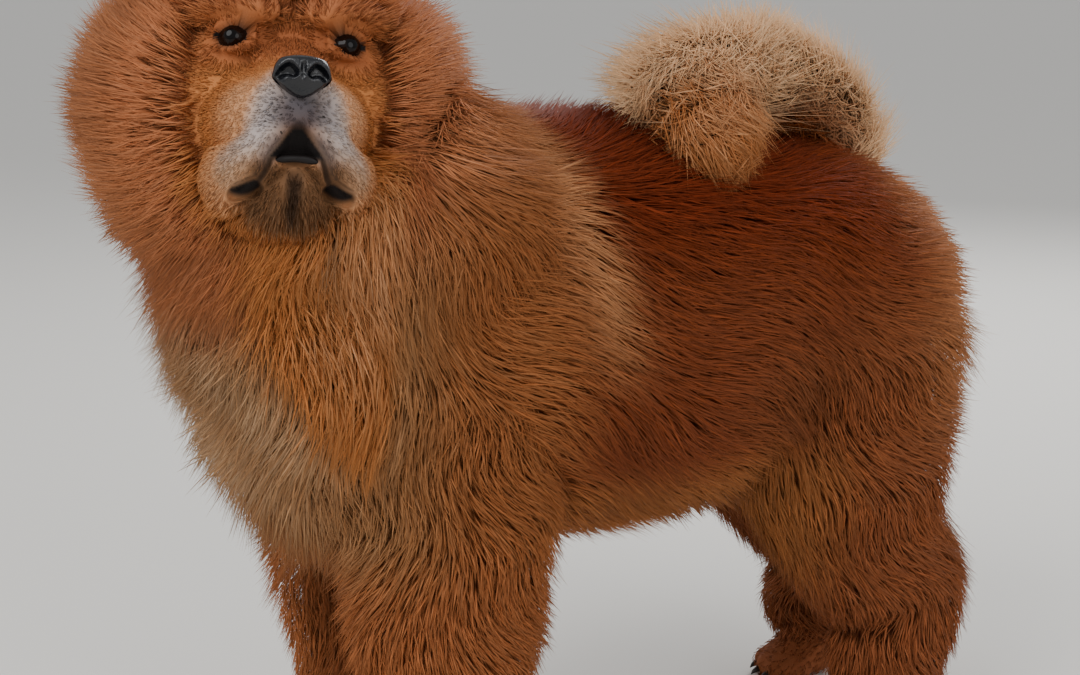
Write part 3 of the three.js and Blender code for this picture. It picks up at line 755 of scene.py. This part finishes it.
def distance_to_line(places, line):
    """How far places are from a line through a few points."""
    line = np.array(line, dtype=float)
    best = np.full(len(places), 1e9)
    for start, end in zip(line[:-1], line[1:]):
        along = end - start
        t = np.clip(((places - start) @ along) / (along @ along), 0, 1)
        best = np.minimum(best, np.linalg.norm(places - (start + t[:, None] * along), axis=1))
    return best


def lip_colours(places, colours):
    h = to_head(places)
    # Black lip skin in the mouth's arch and corners, with painted shade there and in the folds between
    # them.
    colours = lay(colours, LIP_BLACK_AND_PAINTED_SHADE, in_mouth(h))
    for line in LIP_LINES:
        colours = lay(colours, LIP_BLACK_AND_PAINTED_SHADE, fade(distance_to_line(h, line), 2.5, 5.5))
    for side in (1, -1):
        opening, far, _ = opening_at(h, side)
        colours = lay(colours, LIP_BLACK_AND_PAINTED_SHADE, fade(opening, 1.1, 1.25) * fade(far, 14.2, 15.4))
    return colours


def pressed(h, line, depth, full, none):
    """The face pressed in along a line to that depth: in full up to one distance, not beyond the other."""
    weight = fade(distance_to_line(h, line), full, none)
    return h + np.array([0, 1.0, 0.2]) * (depth * weight)[:, None]


LID_CLEARANCE = 2.2
SOCKET_DEPTH = 4
BROW_DEPTH = 15
AWAY_FROM_EYE = 9.0


def opening_at(h, side):
    """How far places are from the middle of one eye's slanted opening (1 is its edge), how far from the
    ball's centre, and the way from it."""
    off = h - EYE_AT * (side, 1, 1)
    far = np.linalg.norm(off, axis=1)
    way = off / far[:, None]
    look = eye_look(side)
    slant = unit(np.array([side * 0.92, 0.3, -0.3]))
    over = unit(np.cross(slant, look))
    opening = np.sqrt(((way @ slant) / 0.9) ** 2 + ((way @ over) / 0.6) ** 2)
    return np.where(way @ look > 0, opening, AWAY_FROM_EYE), far, way


def open_lids(h, side):
    """Lids round one eye: the skin clears the ball, and behind the opening it lies inside the ball."""
    opening, far, way = opening_at(h, side)
    lid_at = EYE_RADIUS + LID_CLEARANCE
    inside = (opening < 1) & (far < EYE_RADIUS + BROW_DEPTH)
    lid = (opening >= 1) & (opening < AWAY_FROM_EYE) & (far < lid_at)
    far = np.where(inside, EYE_RADIUS - SOCKET_DEPTH, np.where(lid, lid_at, far))
    return EYE_AT * (side, 1, 1) + way * far[:, None]


def eye_look(side):
    """The way that one eye looks."""
    return unit(np.array([side * 0.3, -1.0, 0.05]))


def shape_face(face):
    """Folds that the forms don't carry: the mouth, the groove over it, the chin, the scowl and the lids."""
    h = to_head(corners_of(face))
    for line in LIP_LINES:
        h = pressed(h, line, 3.0, 1.0, 4.0)
    h += np.array([0, 1.0, 0.15]) * (8.0 * in_mouth(h))[:, None]
    h = pressed(h, [(0, -148, -20), (0, -143, -30)], 3.5, 0.8, 3.5)
    h = pressed(h, [(0, -126, -62), (0, -108, -92)], 4.0, 1.0, 7.0)
    for s in (1, -1):
        h = pressed(h, [(s * 13, -84, 40), (s * 17, -80, 60), (s * 17, -66, 84)], 6.0, 1.0, 8.0)
        h = pressed(h, [(s * 24, -84, 20), (s * 46, -76, 8), (s * 62, -60, -12)], 4.0, 1.0, 8.0)
        h = pressed(h, [(s * 34, -116, -12), (s * 50, -98, -28), (s * 56, -78, -44)], 2.2, 1.0, 6.0)
        h = open_lids(h, s)
    set_corners(face, from_head(h))


def flatten_soles(body):
    places = corners_of(body)
    places[:, 2] = np.maximum(places[:, 2], 0.0)
    set_corners(body, places)


# Face pieces
NOSTRIL_DEPTH = 8.0
GROOVE_DEPTH = 2.6
NOSE_SHOULDER = 8
NOSE_LIFT = 2.0


def make_nose():
    """The nose pad, with comma-shaped nostrils, wings round them and a groove down its middle."""
    corners, faces = NOSE.shell(72, 52)
    for s in (1, -1):
        nostril = [(s * 6.5, -153, -2), (s * 9, -151, 1), (s * 12, -148, -1), (s * 14.5, -144, -6)]
        corners[:, 1] += NOSTRIL_DEPTH * fade(distance_to_line(corners, nostril), 1.8, 4.6)
        wing = [(s * 14, -148, -6), (s * 17, -141, -6)]
        corners[:, 0] += s * 1.2 * fade(distance_to_line(corners, wing), 2.0, 7.0)
    corners[:, 0] *= 1.0 - 0.28 * ease(-corners[:, 2], 3, 15)
    over = np.maximum(corners[:, 2] - NOSE_SHOULDER, 0)
    corners[:, 2] -= 0.55 * over
    groove = [(0, -154, 4), (0, -152, -18)]
    corners[:, 1] += GROOVE_DEPTH * fade(distance_to_line(corners, groove), 0.6, 2.8)
    corners[:, 2] += NOSE_LIFT
    return new_object("nose_pad", in_metres(from_head(corners)), faces, nose_leather())


# The edges of iris and pupil, in degrees from the way that the eye looks.
IRIS_EDGE = 46
PUPIL_EDGE = 20
CORNEA_BULGE = 1.2


def make_eye(side, word):
    """An eyeball whose iris and pupil look out along its own axis."""
    corners, faces = ball((0, 0, 0), EYE_RADIUS - 0.2, 40, 26)
    look = eye_look(side)
    off = np.degrees(np.arccos(np.clip(unit(corners) @ look, -1, 1)))
    colours = layered(np.tile(linear("#1c1310"), (len(corners), 1)), [
        (linear("#190d07"), fade(off, IRIS_EDGE, IRIS_EDGE + 4)),
        (linear("#060404"), fade(off, PUPIL_EDGE, PUPIL_EDGE + 4)),
    ])
    corners += look * (CORNEA_BULGE * fade(off, PUPIL_EDGE, IRIS_EDGE))[:, None]
    places = in_metres(from_head(corners + EYE_AT * (side, 1, 1)))
    eye = new_object("eye_" + word + "_ball", places, faces, eye_wet())
    paint(eye, "iris", colours)
    return eye


def tube(line, radius, around=8):
    """A closed tube of even radius with rounded ends, through a smooth line."""
    middle = [bare(at, (radius, radius, radius)) for at in line[1:-1]]
    form = Form([pole(line[0]), *middle, pole(line[-1])], sideways=(0, 0, 1), upward=(0, -1, 0))
    return form.shell(around, 8 * len(line))


def make_lower_lip():
    """The black lower lip across the arch of the mouth."""
    line = [(-15, -130, -55), (-10, -129, -53), (0, -128, -52), (10, -129, -53), (15, -130, -55)]
    corners, faces = tube(line, 2.6)
    return new_object("lower_lip", in_metres(from_head(corners)), faces, lip_skin())


def make_claws():
    """A short curved claw at the front of each toe."""
    shells = []
    for _, paw_x, paw_y in LEGS:
        for x, y in toes(paw_x, paw_y):
            tip = np.array([x, y - CLAW_AHEAD, 4.5])
            root, thick, thin = tip + (0, 14, 6), tip + (0, 10, 5), tip + (0, 4, 3.2)
            stations = [pole(root), bare(thick, (2.8, 2.8, 2.8)), bare(thin, (2.2, 2.2, 2.2)), pole(tip)]
            shells.append(Form(stations).shell(10, 12))
    corners, faces = joined(shells)
    return new_object("claws", in_metres(corners), faces, claw_horn())


# Coat
# Roots are drawn more often than needed, because those under another part of the skin are left out.
TRIES_PER_TUFT = 5


def scattered(form, count, u_range, a_range):
    """Seeded roots spread evenly over a form between two shares of its length and two angles round it."""
    tries = count * TRIES_PER_TUFT
    u = draw.uniform(*u_range, tries)
    a = np.radians(draw.uniform(*a_range, tries))
    by_u, by_a, _ = form.slopes(u, a, np.full(tries, 0.6))
    area = np.linalg.norm(np.cross(by_u, by_a), axis=1)
    kept = draw.uniform(0, np.quantile(area, 0.98), tries) < area
    return u[kept], a[kept]


def fluff(p):
    """Soft lumps of the coat, about 50 across, as a share of its depth."""
    x, y, z = p[:, 0] / 17, p[:, 1] / 19, p[:, 2] / 15
    lumps = 0.035 * np.sin(x + 1.3 * np.sin(z)) * np.cos(y + 0.8 * np.sin(x))
    return lumps + 0.03 * np.sin(z + 1.7 * np.sin(y))


def eddies(p):
    """A slow wander of the coat's lie, in waves 120 to 180 long."""
    x, y, z = p[:, 0], p[:, 1], p[:, 2]
    sideways = np.sin(y / 23 + 1.7 * np.sin(z / 29))
    along = np.sin(z / 19 + 1.5 * np.sin(x / 27))
    return np.stack([sideways, along, np.sin(x / 25 + y / 28)], axis=1)


# How high tufts end, as a share of the coat's depth: the highest, and how much lower the lowest.
TUFT_TOP = 1.02
TUFT_DROP = 0.3


def grow(form, count, lie, length, u_range=(0.02, 0.98), a_range=(0, 360), felted=FELTED, place=None,
         keep=None):
    """Paths of tufts on a form: root, bend, tip, the way out of the skin, the root's place unwrapped."""
    u, a = scattered(form, count, u_range, a_range)
    place = place or (lambda p: p)
    root = place(form.point(u, a, np.full(len(u), felted + 0.02)))
    seen = uncovered(root, count)
    if keep is not None:
        seen &= keep(root)
    u, a, root = u[seen][:count], a[seen][:count], root[seen][:count]
    n = len(u)
    own = length * draw.uniform(0.75, 1.2, n)
    rise = TUFT_TOP - TUFT_DROP * draw.random(n) ** 2 + fluff(root)
    u1, a1 = form.walk(u, a, np.full(n, 0.6), lie, own * 0.4)
    bend = place(form.point(u1, a1, felted + 0.52 * (rise - felted)))
    u2, a2 = form.walk(u1, a1, np.full(n, 0.8), lie, own * 0.6)
    tip = place(form.point(u2, a2, rise))
    outward = unit(place(form.point(u, a, np.full(n, 1.0))) - root)
    return root, bend, tip, outward, np.stack([(a / (2 * math.pi)) % 1, u], axis=1)


ROOT_DEPTH = 6


def uncovered(root, enough):
    """True where a root lies on the outer skin, not inside another part of it, until there are enough."""
    out = np.zeros(len(root), dtype=bool)
    found = 0
    for i, p in enumerate(in_metres(root)):
        hit, normal, _, distance = skin_tree.find_nearest(Vector(p))
        out[i] = distance < ROOT_DEPTH * MM or (Vector(p) - hit).dot(normal) > 0
        found += out[i]
        if found > 1.1 * enough:
            break
    return out


def clumped(root, bend, tip, share, every=7):
    """Tufts lean towards a neighbour's tip, so that the coat breaks into fine soft locks."""
    leaders = np.arange(0, len(root), every)
    tree = KDTree(len(leaders))
    for k, i in enumerate(leaders):
        tree.insert(Vector(root[i]), k)
    tree.balance()
    leader = leaders[np.array([tree.find(Vector(p))[1] for p in root])]
    bend = bend + 0.2 * share * (bend[leader] - bend)
    tip = tip + share * (tip[leader] - tip)
    return bend, tip


def wispy(root, tip, strength):
    """A small wander of each tip, in proportion to its tuft's length."""
    length = np.linalg.norm(tip - root, axis=1, keepdims=True)
    return tip + np.clip(draw.normal(0, strength, tip.shape), -2 * strength, 2 * strength) * length


# A tuft's faces: three from its root to the ring at its bend, and three from the ring to its tip.
TUFT_FACES = np.array([(0, 2, 1), (0, 3, 2), (0, 1, 3), (1, 2, 4), (2, 3, 4), (3, 1, 4)])
# Painted shade and light along each tuft's five corners: root and bend darker, as the depth of the coat
# lies in shade, and the tip lighter.
TUFT_PAINTED_DEPTH_SHADE = np.array([0.95, 0.95, 0.95, 0.95, 1.06])


def tufts(name, paths, width, thick, colour, clump=0.22, wander=0.075, contrast=0.1):
    """One coat piece: each tuft a thin closed sliver, pointed at both ends and three-sided at its bend."""
    root, bend, tip, outward, unwrap = (np.concatenate(part) for part in zip(*paths))
    bend, tip = clumped(root, bend, tip, clump)
    bend, tip = wispy(root, bend, wander * 0.8), wispy(root, tip, wander)
    tip[:, 2] = np.maximum(tip[:, 2], 1.0)
    n = len(root)
    side = unit(np.cross(unit(tip - root), outward))
    wide = width * draw.uniform(0.7, 1.3, n)[:, None]
    corners = np.stack([
        root - outward,
        bend + side * wide / 2, bend - side * wide / 2, bend + outward * thick,
        tip,
    ], axis=1)
    faces = (TUFT_FACES[None] + 5 * np.arange(n)[:, None, None]).reshape(-1, 3)
    obj = new_object(name, in_metres(corners.reshape(-1, 3)), faces, dog_hair_material)
    shade = np.clip(draw.normal(1.0, contrast, n), 0.6, 1.4)[:, None, None]
    hue = colour(0.35 * root + 0.65 * tip)[:, None, :]
    warm = 1 + 0.05 * draw.normal(0, 1, (n, 1, 1)) * np.array([1.0, 0.3, -0.6])
    # Each tuft's random tone, with painted shade at its root and bend and painted light at its tip.
    colours = np.clip(hue * shade * TUFT_PAINTED_DEPTH_SHADE[None, :, None] * warm, 0.002, 1)
    paint(obj, "markings_and_painted_shade", colours.reshape(-1, 3))
    add_bake_map(obj, unwrap, n)
    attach(obj, "root")
    return obj


# A tuft's patch on the bake map, and where its five corners lie in it.
PATCH = 0.003
PATCH_CORNERS = np.array([(0.5, 0), (0, 0.5), (1, 0.5), (0.5, 0.6), (0.5, 1)])


def add_bake_map(obj, unwrap, n):
    layer = obj.data.uv_layers.new(name="OFBake")
    spots = (0.998 - PATCH) * unwrap[:, None, :] + 0.001 + PATCH * PATCH_CORNERS[None]
    layer.data.foreach_set("uv", spots[:, TUFT_FACES.ravel(), :].reshape(-1).astype(np.float32))


# The lie of each part's hair, by places p and the ways out of the coat n.
def lie_of_ruff(p, n):
    return unit(p * np.array([1, 0, 1])) + np.array([0, 0.5, 0])


def lie_of_neck(p, n):
    return np.stack([0.3 * n[:, 0], 0.35 + 0.6 * n[:, 1], np.full(len(p), -0.85)], axis=1)


def lie_of_torso(p, n):
    front = fade(p[:, 1], -220, -120)
    return np.stack([0.25 * n[:, 0] * front, 0.85 - 0.8 * front, -0.5 - 0.4 * front], axis=1)


def lie_of_foreleg(p, n, back=0.3):
    return np.tile([0, back, -1], (len(p), 1))


def lie_of_hindleg(p, n):
    return lie_of_foreleg(p, n, 0.4)


def lie_of_tail(p, n):
    """Along the tail's spine, from its nearest place."""
    shares = np.linspace(0.03, 0.97, 40)
    spine = TAIL.values(shares)[:, :3]
    ways = unit(TAIL.values(shares + 0.01)[:, :3] - TAIL.values(shares - 0.01)[:, :3])
    nearest = np.linalg.norm(p[:, None, :] - spine[None], axis=2).argmin(axis=1)
    return ways[nearest] + 0.15 * n


def short_hair(count, region, length):
    """Roots of short tufts all over a region of the skin, the ways out of it, and their lengths."""
    mesh = skin.data
    mesh.calc_loop_triangles()
    tris = np.empty(len(mesh.loop_triangles) * 3, dtype=np.int32)
    mesh.loop_triangles.foreach_get("vertices", tris)
    corners = corners_of(skin)[tris.reshape(-1, 3)]
    middle = corners.mean(axis=1)
    corners = corners[region(middle)]
    cross = np.cross(corners[:, 1] - corners[:, 0], corners[:, 2] - corners[:, 0])
    area = np.linalg.norm(cross, axis=1) / 2
    pick = draw.choice(len(corners), count, p=area / area.sum())
    s, t = draw.random((2, count))
    flip = s + t > 1
    s, t = np.where(flip, 1 - s, s), np.where(flip, 1 - t, t)
    first, second, third = corners[pick].transpose(1, 0, 2)
    root = first + s[:, None] * (second - first) + t[:, None] * (third - first)
    own = length(root) * draw.uniform(0.75, 1.2, count)
    return root, unit(cross[pick]), own


def combed(root, way, normal, own, bend_lift, tip_lift):
    """Bends and tips of short hair combed that way over the skin, lifted by shares of its length."""
    bend = root + (way * 0.55 + normal * bend_lift) * own[:, None]
    tip = root + (way + normal * tip_lift) * own[:, None]
    return bend, tip


def face_paths(count):
    """Short hair of the face, lying back from the nose and away from the eyes, clear of eyes and mouth."""
    def region(p):
        h = to_head(p)
        keep = (h[:, 1] < -16) & (np.abs(h[:, 0]) < 92) & (np.abs(h[:, 2] + 6) < 104)
        for side in (1, -1):
            opening, far, _ = opening_at(h, side)
            keep &= (opening > 1.02) | (far > 26)
        keep &= np.linalg.norm((h - NOSE_TIP) / (1, 1, 0.85), axis=1) > 20
        keep &= in_mouth(h) < 0.35
        for line in LIP_LINES:
            keep &= distance_to_line(h, line) > 2.6
        return keep

    def length(p):
        h = to_head(p)
        away = np.linalg.norm(h - NOSE_TIP, axis=1)
        return 4 + 4 * ease(away, 40, 90) + 15 * ease(h[:, 2], 44, 70) + 8 * fade(h[:, 2], -88, -68)

    root, normal, own = short_hair(count, region, length)
    h = to_head(root)
    back = unit(np.stack([h[:, 0], np.full(len(h), 55.0), 0.9 * (h[:, 2] + 12)], axis=1))
    for side in (1, -1):
        _, far, away = opening_at(h, side)
        back = lay(back, away, fade(far, 16, 34))
    way = along_skin(back @ HEAD_MATRIX[:3, :3].T, normal)
    lift = (0.2 + 0.3 * ease(own, 8, 18))[:, None]
    bend, tip = combed(root, way, normal, own, 0.7 * lift, lift)
    unwrap = np.stack([0.5 + h[:, 0] / 220, 0.5 + (h[:, 2] + 6) / 230], axis=1)
    clear = np.ones(len(root), dtype=bool)
    for place in (to_head(bend), to_head(tip)):
        clear &= in_mouth(place) < 0.3
        for side in (1, -1):
            opening, far, _ = opening_at(place, side)
            clear &= (opening > 0.9) | (far > 28)
    return tuple(part[clear] for part in (root, bend, tip, normal, on_map(unwrap)))


def on_map(unwrap):
    return np.clip(unwrap, 0.01, 0.99)


def edge_paths(count):
    """Short standing hair where the face meets the ruff."""
    def region(p):
        h = to_head(p)
        rim = np.hypot(h[:, 0] / 62, (h[:, 2] + 10) / 70)
        keep = (h[:, 1] > -56) & (h[:, 1] < 24) & (rim > 0.86) & (rim < 1.5)
        for side in (1, -1):
            keep &= opening_at(h, side)[1] > 26
        return keep

    root, normal, own = short_hair(count, region, lambda p: np.full(len(p), 27.0))
    h = to_head(root)
    out = unit(np.stack([h[:, 0], np.full(len(h), -8.0), h[:, 2] + 10], axis=1)) @ HEAD_MATRIX[:3, :3].T
    bend = root + (0.3 * out + 0.3 * normal) * own[:, None]
    tip = root + (0.72 * out + 0.5 * normal) * own[:, None]
    turn = np.arctan2(h[:, 2] + 10, h[:, 0]) / (2 * math.pi) + 0.5
    return root, bend, tip, normal, on_map(np.stack([turn, (h[:, 1] + 60) / 90], axis=1))


def ear_paths(count):
    """Hair of the ears, lying up. Their fronts and backs have their own halves of the unwrap."""
    def region(p):
        h = to_head(p)
        return (h[:, 2] > 92) & (np.abs(h[:, 0]) > 26) & (np.abs(h[:, 1]) < 40)

    root, normal, own = short_hair(count, region, lambda p: np.full(len(p), 13.0))
    way = along_skin(HEAD_MATRIX[:3, :3] @ np.array([0, 0.15, 1.0]), normal)
    bend, tip = combed(root, way, normal, own, 0.28, 0.34)
    h = to_head(root)
    half = np.where(normal @ HEAD_MATRIX[:3, 1] > 0, 0.5, 0)
    unwrap = np.stack([0.5 + h[:, 0] / 190, 0.48 * (h[:, 2] - 80) / 110 + half], axis=1)
    return root, bend, tip, normal, on_map(unwrap)


def paw_paths(count):
    """Hair of the paws, lying forward and down. Each paw has its own quarter of the unwrap."""
    top = 66
    root, normal, own = short_hair(count, lambda p: (p[:, 2] < top) & (p[:, 2] > 2.5),
                                   lambda p: 6 + 12 * ease(p[:, 2], 30, top))
    way = along_skin(np.array([0, -0.55, -0.8]), normal)
    bend, tip = combed(root, way, normal, own, 0.3, 0.36)
    right, hind = root[:, 0] < 0, root[:, 1] > 60
    paw_y = np.where(hind, HIND_Y + np.where(right, FAR_HIND_BACK, 0), FORE_Y)
    turn = np.arctan2(root[:, 1] - paw_y + 10, np.abs(root[:, 0]) - FORE_STANCE) / (2 * math.pi) + 0.5
    across = np.where(root[:, 0] > 0, 0.5, 0.0) + 0.48 * turn
    along = np.where(hind, 0.5, 0.0) + 0.48 * root[:, 2] / top
    return root, bend, tip, normal, on_map(np.stack([across, along], axis=1))


def make_coat():
    """The coat's pieces. Each row of numbers is how many tufts, their length and reach, then width and
    thickness."""
    halves = (("left", (-90, 90)), ("right", (90, 270)))
    for word, angles in halves:
        # The ruff's hair starts behind the eyes.
        path = grow(RUFF, 26000, lie_of_ruff, 44, (0.16, 0.97), angles, felted=FELTED_RUFF,
                    place=from_head, keep=lambda p: to_head(p)[:, 1] > -48)
        tufts("ruff_" + word, [path], 1.6, 0.6, markings_and_painted_shade, clump=0.15)
    for word, angles in halves:
        path = grow(NECK, 16000, lie_of_neck, 50, (0.05, 0.97), angles)
        tufts("mane_" + word, [path], 1.7, 0.6, markings_and_painted_shade)
    for word, angles in halves:
        path = grow(TORSO, 27000, lie_of_torso, 46, (0.02, 0.98), angles)
        tufts("flank_" + word, [path], 1.8, 0.6, markings_and_painted_shade)
    fore = [grow(foreleg_form(side), 11000, lie_of_foreleg, 34, (0.06, 0.9)) for side in (1, -1)]
    tufts("foreleg_coat", fore, 1.6, 0.6, markings_and_painted_shade)
    for word, side, back in (("left", 1, 0), ("right", -1, FAR_HIND_BACK)):
        path = grow(hindleg_form(side, back), 12000, lie_of_hindleg, 40, (0.04, 0.9))
        tufts("hindleg_" + word + "_coat", [path], 1.7, 0.6, markings_and_painted_shade)
    plume = grow(TAIL, 20000, lie_of_tail, 46, (0.03, 0.98), felted=FELTED_TAIL)
    tufts("tail_plume", [plume], 1.3, 0.5, tail_markings, clump=0.35, wander=0.15)
    tufts("face_hair", [face_paths(27000)], 0.75, 0.3, face_colours, clump=0.1, wander=0.05,
          contrast=0.06)
    tufts("ruff_edge", [edge_paths(9000)], 1.2, 0.5, markings_and_painted_shade, clump=0.15, wander=0.08)
    small = [ear_paths(4500), paw_paths(4500)]
    tufts("ear_and_paw_hair", small, 1.4, 0.5, markings_and_painted_shade, clump=0.2, wander=0.06)


def face_colours(p):
    """The markings, with the dark specks where the whiskers root."""
    colour = markings_and_painted_shade(p)
    h = to_head(p)
    speck = np.sin(0.9 * h[:, 0]) * np.sin(0.8 * h[:, 2] + 0.5) * np.sin(0.7 * h[:, 1])
    spots = ease(speck, 0.35, 0.6) * near(h, (0, -132, -34), (50, 60, 44))
    return lay(colour, LIP_BLACK_AND_PAINTED_SHADE, spots * 0.8)


# Studio, in metres
FLOOR_HALF = 60


def soft_light(name, at, size, watts, aim=(0, 0, 0.35)):
    lamp = bpy.data.lights.new(name, "AREA")
    lamp.shape = "DISK"
    lamp.size = size
    lamp.energy = watts
    obj = bpy.data.objects.new(name, lamp)
    obj.location = at
    obj.rotation_euler = (Vector(aim) - Vector(at)).to_track_quat("-Z", "Y").to_euler()
    bpy.context.scene.collection.objects.link(obj)


def make_studio():
    corners = FLOOR_HALF * np.array([(-1, -1, 0), (1, -1, 0), (1, 1, 0), (-1, 1, 0)])
    floor = new_object("floor", corners, [(0, 1, 2, 3)], pale_floor())
    soft_light("key", (1.2, -2.6, 2.6), 2.4, 80)
    soft_light("fill", (3.0, 0.6, 1.4), 2.2, 32)
    soft_light("rim", (-1.6, 2.2, 2.2), 1.4, 60)
    world = bpy.data.worlds.new("studio")
    world.use_nodes = True
    backdrop = world.node_tree.nodes["Background"]
    backdrop.inputs["Color"].default_value = (0.83, 0.84, 0.86, 1)
    backdrop.inputs["Strength"].default_value = 0.78
    bpy.context.scene.world = world


# Camera: it stands off the dog's left shoulder, 650 above the floor and looking a little down.
CAMERA_AZIMUTH = 62
CAMERA_AWAY = 1500
CAMERA_HEIGHT = 650
CAMERA_ASIDE = -24
FOCAL_PIXELS = 1900
PHOTO_WIDTH, PHOTO_HEIGHT = 1080, 675
HORIZON_ROW = -24
SENSOR_WIDTH = 36


def make_camera():
    turn = math.radians(CAMERA_AZIMUTH)
    right = np.array([math.cos(turn), math.sin(turn), 0])
    back = np.array([math.sin(turn), -math.cos(turn), 0])
    at = right * CAMERA_ASIDE + back * CAMERA_AWAY + np.array([0, 0, CAMERA_HEIGHT])
    down = math.atan((PHOTO_HEIGHT / 2 - HORIZON_ROW) / FOCAL_PIXELS)
    lens = bpy.data.cameras.new("camera")
    lens.sensor_width = SENSOR_WIDTH
    lens.lens = FOCAL_PIXELS * SENSOR_WIDTH / PHOTO_WIDTH
    camera = bpy.data.objects.new("camera", lens)
    camera.location = in_metres(at)
    camera.location.z = CAMERA_HEIGHT * MM
    camera.rotation_euler = (math.pi / 2 - down, 0, turn)
    bpy.context.scene.collection.objects.link(camera)
    bpy.context.scene.camera = camera


dog_hair_material = dog_hair()
make_camera()
make_studio()
skin = make_skin()
skin_tree = BVHTree.FromObject(skin, bpy.context.evaluated_depsgraph_get())
FLESH = (
    "head", "jaw", "neck", "torso", "tail", "ear_left", "ear_right", "foreleg_left", "foreleg_right",
    "hindleg_left", "hindleg_right", "forepaw_left", "forepaw_right", "hindpaw_left", "hindpaw_right",
)
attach(skin, "root")
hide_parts(*FLESH)

nose = make_nose()
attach(nose, "root")
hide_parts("nose")
for side, word in ((1, "left"), (-1, "right")):
    eye = make_eye(side, word)
    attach(eye, "root")
    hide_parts("eye_" + word)
lip = make_lower_lip()
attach(lip, "root")
claws = make_claws()
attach(claws, "root")
make_coat()
